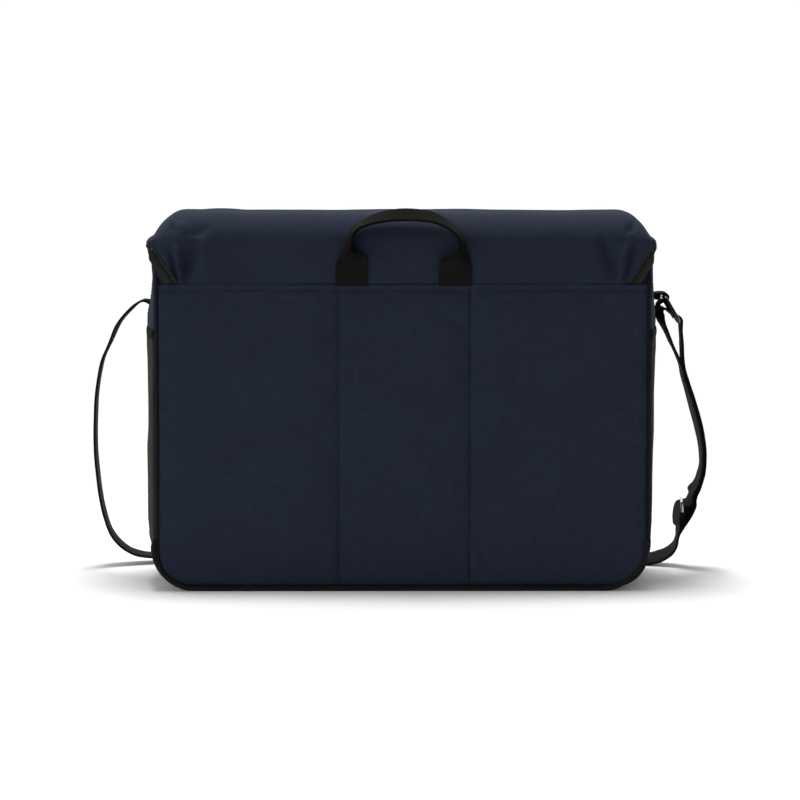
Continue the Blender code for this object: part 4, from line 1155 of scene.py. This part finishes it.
def zip_line(gap, z_side, x_side, y_front, z0, bulge=0.0022):
    """Line parallel to the lid's edge: up the rear diagonal, round both sides, across the front."""
    left = zip_half(gap, z_side, x_side, y_front, z0, bulge)
    right = zip_half(gap, z_side, x_side - 0.0020, y_front, z0, bulge)
    left[:, 0] *= -1
    return catmull(np.vstack([right, left[::-1][1:]]), step=0.0025)


def zip_half(gap, z_side, x_side, y_front, z0, bulge=0.0022):
    foot = np.array([SEAM_HALF, LID_SEAM_Z]) + outw * gap
    L = (RIM_Z - LID_SEAM_Z) / slope[1]
    t0 = (z0 - foot[1]) / slope[1]
    half = []
    for k in np.linspace(0, 1, 12):
        p = foot + slope * (t0 + (0.84 * L - t0) * k)
        half.append((min(p[0], x_side - 0.0003 * (1 - k)), YR - 0.0006, p[1]))
    x_c = half[-1][0]
    half.append((x_side + 0.0004, YR + 0.0020, z_side - 0.0016))
    half.append((x_side + 0.0008, YR + 0.0100, z_side - 0.0002))
    for y in np.linspace(YR + 0.022, YF - 0.020, 10):
        s_ = math.sin(math.pi * (y - YR) / (YF - YR))
        half.append((x_side + bulge * s_, y, z_side))
    r = 0.0150
    for a in np.linspace(0, math.pi / 2, 8)[1:]:
        half.append((x_side - r + r * math.cos(a), y_front - r + r * math.sin(a), z_side))
    for x in np.linspace(x_side - r, 0, 14)[1:]:
        half.append((x, y_front, z_side))
    return np.array(half)


def tape(name, A, B, mat, body, swaps, lift=0.0):
    """Flat tape between two lines with the same number of points."""
    n = min(len(A), len(B))
    A = catmull(A, count=n - 1)
    B = catmull(B, count=n - 1)
    K = 6
    P = np.stack([A + (B - A) * k / (K - 1) for k in range(K)], 1)
    UVt = np.empty((n, K, 2))
    UVt[..., 0] = np.linspace(0, 0.006, K)[None, :]
    UVt[..., 1] = arclen(A)[:, None]
    ob = grid(name, P, UVt, mat)
    outward(ob)
    thicken(ob, 0.0007, offset=0.0)
    return place(ob, body, swaps)


c_up = zip_line(0.0014, RIM_Z - 0.0010, 0.2030, YF - 0.0006, LID_SEAM_Z + 0.0012)
c_lo = zip_line(0.0034, RIM_Z - 0.0032, 0.2034, YF - 0.0004, LID_SEAM_Z + 0.0008)
t_up = zip_line(-0.0014, RIM_Z + 0.0014, 0.2002, YF - 0.0016, LID_SEAM_Z + 0.0016, 0.0)
t_lo = zip_line(0.0085, RIM_Z - 0.0085, 0.2026, YF - 0.0002, LID_SEAM_Z + 0.0006)
ob = rod("zip_coil_upper", c_up, 0.0010, "coil", sides=10)
place(ob, "lid", ("zip_tape_upper",))
ob = rod("zip_coil_lower", c_lo, 0.0010, "coil", sides=10)
place(ob, "root", ("zip_tape_lower",))
tape("zip_edge_upper", c_up + np.array([0, 0.0005, 0]), t_up, "tape", "lid", ())
tape("zip_edge_lower", c_lo + np.array([0, 0.0005, 0]), t_lo, "tape", "root", ())
# rolled edge where the lid's cloth is turned in along the zip
rim_line = zip_line(0.0000, RIM_Z + 0.0004, 0.2018, YF - 0.0010, LID_SEAM_Z + 0.0014, 0.0)
ob = rod("lid_rolled_edge", rim_line, 0.0011, "navy", sides=10)
place(ob, "lid")

# corner gores between the rear panel's top corners and the zip
for nm, sx in (("left", -1), ("right", 1)):
    hx = 0.2020 if sx < 0 else 0.2000
    us = np.linspace(0, 1, 18)
    vs = np.linspace(0, 1, 14)
    U_, V_ = np.meshgrid(us, vs)
    # from the seam's end out to the gusset, and up along the zip's lower tape
    foot_x, foot_z = 0.1850, LID_SEAM_Z - 0.0020
    top_x, top_z = hx - 0.0006, 0.2740
    cor_x, cor_z = hx - 0.0030, LID_SEAM_Z - 0.0020
    bx_, bz_ = foot_x + (cor_x - foot_x) * U_, foot_z + (cor_z - foot_z) * U_
    tx_, tz_ = foot_x + (top_x - foot_x) * U_, foot_z + (top_z - foot_z) * U_
    gxx, gzz = bx_ + (tx_ - bx_) * V_, bz_ + (tz_ - bz_) * V_
    sag = 0.0012 * np.sin(np.pi * U_) * np.sin(np.pi * V_) + 0.0004 * np.sin(gzz * 2 * math.pi / 0.0060) * U_
    gy = np.full_like(gxx, YR + 0.0030) - sag + 0.0015 * smooth(0.8, 1.0, U_)
    P = np.stack([sx * gxx, gy, gzz], -1)
    ob = grid("corner_gore_cloth_" + nm, P, np.stack([gxx, gzz], -1), "navy", flip=(sx < 0))
    outward(ob)
    thicken(ob, 0.0009, offset=0.0)
    place(ob, "root", ("corner_gore_" + nm,))

# ----------------------------------------------------------------------------
# shoulder strap, ring, adjuster
# ----------------------------------------------------------------------------
STRAP_W = 0.0280
ROUTE = [
    (-0.2030, 0.0000, 0.2262, 0), (-0.2056, 0.0000, 0.2274, 0), (-0.2086, 0.0000, 0.2292, 0),
    (-0.2125, 0.0000, 0.2290, 1), (-0.2178, 0.0002, 0.2258, 2), (-0.2258, 0.0030, 0.2176, 3),
    (-0.2326, 0.0085, 0.2082, 2), (-0.2393, 0.0155, 0.1942, 1), (-0.2460, 0.0232, 0.1794, 0),
    (-0.2500, 0.0310, 0.1640, 0), (-0.2527, 0.0380, 0.1476, 0), (-0.2541, 0.0450, 0.1312, 0),
    (-0.2550, 0.0520, 0.1155, 0), (-0.2552, 0.0590, 0.0980, 0), (-0.2542, 0.0670, 0.0787, 0),
    (-0.2526, 0.0740, 0.0611, 0), (-0.2499, 0.0810, 0.0450, 0), (-0.2454, 0.0870, 0.0299, 0),
    (-0.2383, 0.0930, 0.0189, 0), (-0.2293, 0.0980, 0.0114, 0), (-0.2195, 0.1030, 0.0075, 0),
    (-0.2080, 0.1065, 0.0056, 0), (-0.1800, 0.1090, 0.0026, 0), (-0.1400, 0.1100, 0.0016, 0),
    (-0.0500, 0.1110, 0.0014, 0), (0.0500, 0.1110, 0.0014, 0), (0.1100, 0.1100, 0.0020, 2),
    (0.1550, 0.1080, 0.0024, 5), (0.1820, 0.1040, 0.0032, 9), (0.1960, 0.0985, 0.0036, 11),
    (0.2070, 0.0945, 0.0040, 12), (0.2141, 0.0910, 0.0056, 12), (0.2216, 0.0875, 0.0086, 9),
    (0.2282, 0.0835, 0.0142, 4), (0.2314, 0.0798, 0.0212, 0), (0.2320, 0.0772, 0.0276, 0),
    (0.2330, 0.0755, 0.0330, 5), (0.2352, 0.0738, 0.0385, 11)]
rows = catmull(ROUTE, step=0.0030)
P = rows[:, :3]
w, n = frames_for(P, (0, 1, 0), rows[:, 3])
ob = strap("shoulder_strap_web", P, w, n, STRAP_W, 0.0017, "web")
place(ob, "strap", ("shoulder_strap",))

RING_TOP = np.array([0.2135, 0.0, 0.2322])
RING_LOW = np.array([0.2245, 0.0, 0.2132])
LOOP = 0.0031
tab = [(0.2064, 0.0, 0.2180), (0.2076, 0.0, 0.2215), (0.2090, 0.0, 0.2262), (0.2108, 0.0, RING_TOP[2] - LOOP - 0.0010)]
tab += [(RING_TOP[0] + LOOP * math.cos(a), 0.0, RING_TOP[2] + LOOP * math.sin(a))
        for a in np.linspace(-math.pi / 2, math.pi / 2, 13)]
tab += [(0.2100, 0.0, RING_TOP[2] + LOOP), (0.2058, 0.0, RING_TOP[2] + LOOP - 0.0006)]
P = catmull(tab, step=0.0008)
w, n = frames_for(P, (0, 1, 0))
ob = strap("strap_tab_web", P, w, n, STRAP_W, 0.0016, "web")
place(ob, "strap", ("strap_tab_right",))
P = catmull([(0.2060, 0, 0.2326), (0.2080, 0, 0.2324), (0.2101, 0, 0.2322)], step=0.0007)
w, n = frames_for(P, (0, 1, 0))
ob = strap("strap_tab_core", P, w, n, STRAP_W - 0.0006, 0.0044, "web")
place(ob, "strap")

down = RING_LOW - RING_TOP
drop = np.linalg.norm(down)
down = down / drop
hw, cr = 0.0188, 0.0042
ring = []
for cu_, cv_, a0 in ((hw - cr, drop - cr, 0), (-hw + cr, drop - cr, 90), (-hw + cr, cr, 180), (hw - cr, cr, 270)):
    for k in range(9):
        a = math.radians(a0 + 90 * k / 8)
        ring.append(RING_TOP + np.array([0, 1, 0]) * (cu_ + cr * math.cos(a)) + down * (cv_ + cr * math.sin(a)))
ob = rod("strap_ring_gloss", ring, 0.0019, "metal", sides=16, cyclic=True, ref=tuple(np.cross(down, [0, 1, 0])))
place(ob, "strap", ("strap_ring_right",))

DOUBLE = [(0.2304, 0.0175, 0.1740), (0.2332, 0.0215, 0.1636), (0.2380, 0.0280, 0.1491),
          (0.2430, 0.0355, 0.1328), (0.2472, 0.0430, 0.1172), (0.2502, 0.0500, 0.1015),
          (0.2508, 0.0555, 0.0862), (0.2482, 0.0620, 0.0731), (0.2445, 0.0655, 0.0640)]
YAW = [1, 2, 3.5, 5, 4, 2, 0.8, 2.5, 6]
SPREAD = [0.0010] * 7 + [0.0011, 0.0014]
D = np.array(DOUBLE)
wd, nd = frames_for(D, (0, 1, 0), np.zeros(len(D)))
nd *= np.sign(nd[:, :1])
# the outer strand carries on past the adjuster into the shoulder strap
outer = [(0.2337, 0.0748, 0.0350, 8), (0.2374, 0.0726, 0.0425, 13), (0.2410, 0.0702, 0.0500, 15),
         (0.2440, 0.0680, 0.0575, 13)]
outer += [(*(D[i] + nd[i] * SPREAD[i]), YAW[i]) for i in range(len(D))][::-1]
inner = [(*(D[i] - nd[i] * SPREAD[i]), YAW[i]) for i in range(len(D))]
# the inner strand turns over the adjuster's bar and its end hangs down on the near side of it
inner += [(0.2424, 0.0674, 0.0594, 8), (0.2400, 0.0687, 0.0560, 9), (0.2366, 0.0698, 0.0543, 9),
          (0.2334, 0.0704, 0.0524, 9), (0.2319, 0.0712, 0.0475, 9), (0.2314, 0.0722, 0.0405, 9),
          (0.2317, 0.0730, 0.0340, 8)]
loop = outer + [(0.2299, 0.0130, 0.1850, 0), (0.2289, 0.0075, 0.1960, 0), (0.2279, 0.0030, 0.2060, 0)]
loop += [(RING_LOW[0] + 0.0033 * math.cos(a), 0.0010, RING_LOW[2] + 0.0033 * math.sin(a), 0)
         for a in np.radians(np.linspace(0, 120, 6))]
loop += [(0.2200, 0.0010, 0.2182, 2), (0.2164, 0.0010, 0.2216, 5), (0.2130, 0.0010, 0.2228, 8),
         (0.2109, 0.0012, 0.2206, 10), (0.2106, 0.0016, 0.2160, 10), (0.2120, 0.0024, 0.2112, 7),
         (0.2147, 0.0038, 0.2056, 4), (0.2176, 0.0060, 0.1996, 2), (0.2210, 0.0090, 0.1922, 1),
         (0.2250, 0.0130, 0.1843, 0)]
loop += inner
rows = catmull(loop, step=0.0014)
P = rows[:, :3]
yaw = np.radians(rows[:, 3])
w, n = frames_for(P, np.stack([-np.sin(yaw), np.cos(yaw), 0 * yaw], 1))
ob = strap("strap_double_web", P, w, n, STRAP_W, 0.0016, "web")
place(ob, "strap", ("strap_loop",))

# slide adjuster: a bright plated frame with a middle bar, standing between the two strands
AC = np.array([0.2351, 0.0704, 0.0530])
aw = np.array([0.05, 0.998, 0.0])
aw /= np.linalg.norm(aw)
au = np.array([-0.06, 0.003, 0.993])
au -= au @ aw * aw
au /= np.linalg.norm(au)
fr_ = []
for cu_, cv_, a0 in ((1, 1, 0), (-1, 1, 90), (-1, -1, 180), (1, -1, 270)):
    for k in range(7):
        a = math.radians(a0 + 90 * k / 6)
        fr_.append(AC + aw * (cu_ * 0.0156 + 0.0012 * math.cos(a)) + au * (cv_ * 0.0026 + 0.0012 * math.sin(a)))
ob = rod("adjuster_frame", fr_, 0.0012, "bright", sides=14, cyclic=True, ref=tuple(np.cross(aw, au)))
place(ob, "strap", ("strap_adjuster",))
ob = rod("adjuster_bar", [AC + aw * k for k in np.linspace(-0.0150, 0.0150, 9)], 0.0010, "metal", sides=14,
         ref=tuple(np.cross(aw, au)))
place(ob, "strap")

# ----------------------------------------------------------------------------
# front panel and its slip pocket
# ----------------------------------------------------------------------------
front_pad = inflate("front_pad_sim", HALF_W, Z_COVER, Z_FRONT - 0.004, CORNER_R, (), pressure=4.0, cap=0.0034)


def front_relief(X, Z):
    edge = edge_distance(X, Z, HALF_W, Z_COVER, Z_FRONT, CORNER_R)
    out = 0.0009 * (1 - np.exp(-np.maximum(edge, 0) / 0.0035)) + front_pad(X, Z)
    out += 0.00012 * np.sin((X + Z) * 2 * math.pi / 0.0105) * np.exp(-np.maximum(edge, 0) / 0.0060)
    return out


xs = fine_axis(-HALF_W, HALF_W, 0.0036, (-HALF_W, HALF_W))
zs = fine_axis(Z_COVER, Z_FRONT, 0.0036, (Z_COVER, Z_FRONT))
X, Z = np.meshgrid(xs, zs)
X, Z = round_corners(X, Z, HALF_W, Z_COVER, CORNER_R)
relief = front_relief(X, Z) + 0.0006 * wob_grid(X, Z, 15.0, 13.1) + 0.00025 * wob_grid(X, Z, 44.0, 18.7)
P = np.stack([X, np.full_like(X, YF) + relief - 0.0014, Z], -1)
ob = grid("front_cover", P, np.stack([X, Z], -1), "navy", flip=True)
thicken(ob, 0.0012, offset=-1.0)
place(ob, "root", ("front_panel", "front_pad"))
pp = piping_path(YF + 0.0002, Z_FRONT - 0.001, HALF_W + 0.0011, Z_COVER - 0.0010, CORNER_R + 0.0011, 0.0004)
ob = rod("front_edge_piping", pp, PIPE_R, "pipe", sides=12, ref=(0, 1, 0))
place(ob, "root", ("front_piping",))

FPW, FP0, FP1, FPR = 0.1640, 0.0310, Z_POCKET_TOP, 0.0160
pocket_pad = inflate("front_pocket_sim", FPW, FP0, FP1, FPR, (), pressure=3.0, cap=0.0028, sides=(1, 1, 0))
xs = fine_axis(-FPW, FPW, 0.0036, (-FPW, FPW))
zs = fine_axis(FP0, FP1, 0.0036, (FP0, FP1))
X, Z = np.meshgrid(xs, zs)
X, Z = round_corners(X, Z, FPW, FP0, FPR)


def pocket_relief(X, Z):
    edge = edge_distance(X, Z, FPW, FP0, None, FPR)
    return 0.0016 * (1 - np.exp(-np.maximum(edge, 0) / 0.0022)) + pocket_pad(X, Z) + 0.0003


relief = front_relief(X, Z) + pocket_relief(X, Z) + 0.0006 * wob_grid(X, Z, 19.0, 23.1)
P = np.stack([X, np.full_like(X, YF) + relief - 0.0012, Z], -1)
ob = grid("front_pocket_cloth", P, np.stack([X, Z], -1), "navy", flip=True)
thicken(ob, 0.0010, offset=-1.0)
place(ob, "root", ("front_pocket",))
xx = np.linspace(-FPW + 0.0005, FPW - 0.0005, 150)
zb = np.linspace(FP1 - 0.0010, FP1 + 0.0066, 9)
X, Z = np.meshgrid(xx, zb)
k_ = np.sin(np.pi * np.clip((Z - zb[0]) / (zb[-1] - zb[0]), 0, 1)) ** 0.5
relief = front_relief(X, np.full_like(X, FP1)) + pocket_relief(X, np.full_like(X, FP1)) + 0.0006 * wob_grid(X, 0 * Z + FP1, 19.0, 23.1)
P = np.stack([X, np.full_like(X, YF) + relief - 0.0012 + 0.0007 * k_, Z], -1)
ob = grid("front_pocket_edge", P, np.stack([Z, X], -1), "web", flip=True)
thicken(ob, 0.0018, offset=-1.0)
place(ob, "root", ("front_pocket_binding",))
ed = [(-FPW + 0.0030, z) for z in np.linspace(FP1 - 0.002, FP0 + FPR, 60)]
ed += [(-FPW + FPR - (FPR - 0.003) * math.cos(a), FP0 + FPR - (FPR - 0.003) * math.sin(a)) for a in np.linspace(0, math.pi / 2, 12)[1:]]
ed += [(x, FP0 + 0.0030) for x in np.linspace(-FPW + FPR, FPW - FPR, 160)[1:]]
ed += [(FPW - FPR + (FPR - 0.003) * math.sin(a), FP0 + FPR - (FPR - 0.003) * math.cos(a)) for a in np.linspace(0, math.pi / 2, 12)[1:]]
ed += [(FPW - 0.0030, z) for z in np.linspace(FP0 + FPR, FP1 - 0.002, 60)[1:]]
ed = np.array(ed)
py_ = YF + front_relief(ed[:, 0], ed[:, 1]) + pocket_relief(ed[:, 0], ed[:, 1]) - 0.0012
ob = stitches("front_pocket_stitches", np.stack([ed[:, 0], py_, ed[:, 1]], 1), (0, 1, 0), "navy_thread",
              pitch=0.0034, length=0.0026, radius=0.00024)
place(ob, "root")

# ----------------------------------------------------------------------------
# inside: lining, changing mat in its sleeve, elasticated pocket, lid lining
# ----------------------------------------------------------------------------
TL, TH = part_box("lining_tub")


def tub_ring(hx, y0, y1, r, n=30):
    pts = []
    for cx_, cy_, a0 in ((hx - r, y1 - r, 0), (-hx + r, y1 - r, 90), (-hx + r, y0 + r, 180), (hx - r, y0 + r, 270)):
        for k in range(8):
            a = math.radians(a0 + 90 * k / 7)
            pts.append((cx_ + r * math.cos(a), cy_ + r * math.sin(a)))
    q = np.array(pts + pts[:1])
    run_ = arclen(np.c_[q, 0 * q[:, 0]])
    s_ = np.linspace(0, run_[-1], 181)[:-1]
    return np.stack([np.interp(s_, run_, q[:, 0]), np.interp(s_, run_, q[:, 1])], 1), s_


hx_t, y0_t, y1_t = TH.x - 0.0004, TL.y + 0.0004, TH.y - 0.0004
ring_t, s_t = tub_ring(hx_t, y0_t, y1_t, 0.010)
z_top_t = TH.z - 0.0004
levels = [(z_top_t - (z_top_t - TL.z - 0.012) * k / 40, 1.0) for k in range(41)]
levels += [(TL.z + 0.012 * (1 - math.sin(a)) + 0.0006, 1.0 - 0.035 * (1 - math.cos(a))) for a in np.linspace(0, math.pi / 2, 8)[1:]]
levels += [(TL.z + 0.0006, f_) for f_ in np.linspace(0.93, 0.04, 14)]
P = np.empty((len(levels), len(ring_t), 3))
UV = np.empty((len(levels), len(ring_t) + 1, 2))
cy_t = (y0_t + y1_t) / 2
down_run = 0.0
for i, (z_, f_) in enumerate(levels):
    P[i, :, 0] = ring_t[:, 0] * f_
    P[i, :, 1] = cy_t + (ring_t[:, 1] - cy_t) * f_
    P[i, :, 2] = z_
    for j in range(len(ring_t)):
        k_ = noise.noise(Vector((P[i, j, 0] * 14, P[i, j, 1] * 14, z_ * 22)))
        loose = 0.0011 * k_ * min(1.0, max(0.0, (z_top_t - z_) / 0.02))
        cxn = P[i, j, 0] / hx_t
        cyn = (P[i, j, 1] - cy_t) / (y1_t - cy_t)
        if f_ > 0.99:
            if abs(cxn) > abs(cyn):
                P[i, j, 0] -= math.copysign(abs(loose), cxn)
            else:
                P[i, j, 1] -= math.copysign(abs(loose), cyn)
        else:
            P[i, j, 2] += abs(loose) * 0.8
    if i:
        down_run += float(np.linalg.norm(P[i, 0] - P[i - 1, 0]))
    UV[i, :-1, 0] = s_t
    UV[i, -1, 0] = s_t[-1] + 0.006
    UV[i, :, 1] = down_run

def corner_limit(z, bx, r):
    """How far out the rounded bottom corner lets anything reach at height z."""
    q = np.clip(r - z, 0, r)
    return bx - r + np.sqrt(r * r - q * q)


lim_r = corner_limit(P[..., 2], BX_R, R_R) - 0.0040
lim_l = corner_limit(P[..., 2], BX_L, R_L) - 0.0040
P[..., 0] = np.clip(P[..., 0], -lim_l, lim_r)
ob = grid("lining_cloth", P, UV, "lining", wrap=True, cap1=True)
thicken(ob, 0.0005, offset=1.0)
place(ob, "root", ("lining_tub",))

# changing mat, folded in three, with a bound edge
ML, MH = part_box("changing_mat")
m_w = MH.x - ML.x
yc = (ML.y + MH.y) / 2
t_m = (MH.y - ML.y) / 3.0
za, zb_ = ML.z + 0.003, MH.z - 0.003
path = [(0, yc + t_m, zb_ - 0.001)] + [(0, yc + t_m, z) for z in np.linspace(zb_ - 0.010, za + t_m, 20)]
path += [(0, yc + t_m / 2 + t_m / 2 * math.cos(a), za + t_m / 2 - t_m / 2 * math.sin(a) * 1.2) for a in np.linspace(0, math.pi, 9)[1:-1]]
path += [(0, yc, z) for z in np.linspace(za + t_m, zb_ - t_m, 22)]
path += [(0, yc - t_m / 2 + t_m / 2 * math.cos(a), zb_ - t_m / 2 + t_m / 2 * math.sin(a) * 1.2) for a in np.linspace(0, math.pi, 9)[1:-1]]
path += [(0, yc - t_m, z) for z in np.linspace(zb_ - t_m, za + 0.006, 22)]
P = catmull(path, step=0.0022)
w, n = frames_for(P, (1, 0, 0))
th = np.full(len(P), t_m * 0.90)
th *= 1 - 0.10 * np.sin(arclen(P) * 2 * math.pi / 0.030) ** 8
ob = strap("changing_mat_pad", P, w, n, m_w - 0.002, th, "mat", crown=0.00012, k=25)
place(ob, "root", ("changing_mat",))
for nm, sx in (("left", -1), ("right", 1)):
    q = P.copy()
    q[:, 0] = sx * (m_w / 2 - 0.0012)
    ob = rod("changing_mat_binding_" + nm, q, t_m * 0.46, "web", sides=10, ref=(1, 0, 0))
    place(ob, "root")

SL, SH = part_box("mat_sleeve")
cols_x = np.concatenate([np.full(5, SL.x), np.linspace(SL.x, SH.x, 90)[1:-1], np.full(5, SH.x)])
cols_y = np.concatenate([np.linspace(SL.y, SH.y - 0.0006, 5), np.full(88, SH.y - 0.0006), np.linspace(SH.y - 0.0006, SL.y, 5)])
zs = np.linspace(SL.z, SH.z, 48)
X, Z = np.meshgrid(cols_x, zs)
Y = np.broadcast_to(cols_y[None, :], X.shape).copy()
front_ = np.abs(Y - (SH.y - 0.0006)) < 1e-6
Y += np.where(front_, 0.0004 * wob_grid(X, Z, 21.0, 33.0) + 0.0008 * smooth(0.150, 0.190, Z) * np.sin(np.pi * (X - SL.x) / (SH.x - SL.x)), 0)
acr = arclen(np.stack([cols_x, cols_y, 0 * cols_x], 1))
P = np.stack([X, Y, Z], -1)
ob = grid("mat_sleeve_cloth", P, np.stack([np.broadcast_to(acr, X.shape), Z], -1), "lining")
outward(ob)
thicken(ob, 0.0006, offset=0.0)
place(ob, "root", ("mat_sleeve",))
zb = np.linspace(SH.z - 0.0050, SH.z + 0.0016, 6)
X, Z = np.meshgrid(cols_x[4:-4], zb)
Y = SH.y - 0.0006 + 0.0008 * np.sin(np.pi * (X - SL.x) / (SH.x - SL.x)) + 0.0007 + 0.0004 * wob_grid(X, 0 * Z + SH.z, 21.0, 33.0)
ob = grid("mat_sleeve_edge", np.stack([X, Y, Z], -1), np.stack([Z, X], -1), "web")
outward(ob)
thicken(ob, 0.0016, offset=0.0)
place(ob, "root")

IL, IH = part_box("inner_pocket")
u = np.linspace(0, 1, 141)
zs = np.linspace(IL.z, IH.z, 40)
U_, Z = np.meshgrid(u, zs)
X = IL.x + (IH.x - IL.x) * U_
cell = np.abs(np.sin(2 * math.pi * U_)) ** 0.45
deep = IH.y - IL.y - 0.0012
Y = IH.y - 0.0006 - deep * cell * (1 - 0.10 * smooth(0.110, 0.140, Z))
Y += 0.0009 * np.sin(U_ * 2 * math.pi * 34) * smooth(0.095, 0.140, Z) * cell
Y += 0.0005 * wob_grid(X, Z, 24.0, 41.0)
Y = np.clip(Y, IL.y - 0.001, IH.y)
P = np.stack([X, Y, Z], -1)
ob = grid("inner_pocket_cloth", P, np.stack([X, Z], -1), "lining")
outward(ob)
thicken(ob, 0.0007, offset=0.0)
place(ob, "root", ("inner_pocket",))
zb = np.linspace(IH.z - 0.0010, IH.z + 0.0062, 9)
U_, Z = np.meshgrid(u, zb)
X = IL.x + (IH.x - IL.x) * U_
cell = np.abs(np.sin(2 * math.pi * U_)) ** 0.45
rr_ = np.sin(np.pi * np.clip((Z - zb[0]) / (zb[-1] - zb[0]), 0, 1)) ** 0.5
Y = IH.y - 0.0006 - deep * cell * 0.90 + 0.0009 * np.sin(U_ * 2 * math.pi * 34) * cell - 0.0006 * rr_
Y += 0.0005 * wob_grid(X, 0 * Z + IH.z, 24.0, 41.0)
ob = grid("inner_pocket_elastic_edge", np.stack([X, Y, Z], -1), np.stack([Z, X], -1), "web")
outward(ob)
thicken(ob, 0.0018, offset=0.0)
place(ob, "root", ("inner_pocket_elastic",))

P, UV = lid_points(inset=0.0046, detail=True)
ob = grid("lid_lining_cloth", P, UV, "lining", flip=True)
thicken(ob, 0.0004, offset=0.0)
place(ob, "lid", ("lid_lining",))

# hard parts keep their CAD shape
for n_ in ("zip_slider_left", "zip_slider_right", "zip_puller_left", "zip_puller_right"):
    o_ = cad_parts[n_]
    o_.data.materials.clear()
    o_.data.materials.append(MAT["metal"])
BL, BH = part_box("base_board")
bz0, bz1 = BL.z, BH.z
bxr = min(BH.x, float(corner_limit(bz0, BX_R, R_R)) - 0.0022)
bxl = min(-BL.x, float(corner_limit(bz0, BX_L, R_L)) - 0.0022)
P = catmull([(x, (BL.y + BH.y) / 2, (bz0 + bz1) / 2) for x in np.linspace(-bxl, bxr, 12)], step=0.006)
w, n = frames_for(P, (0, 1, 0))
ob = strap("base_board_panel", P, w, n, BH.y - BL.y, bz1 - bz0, "board")
place(ob, "root", ("base_board",))
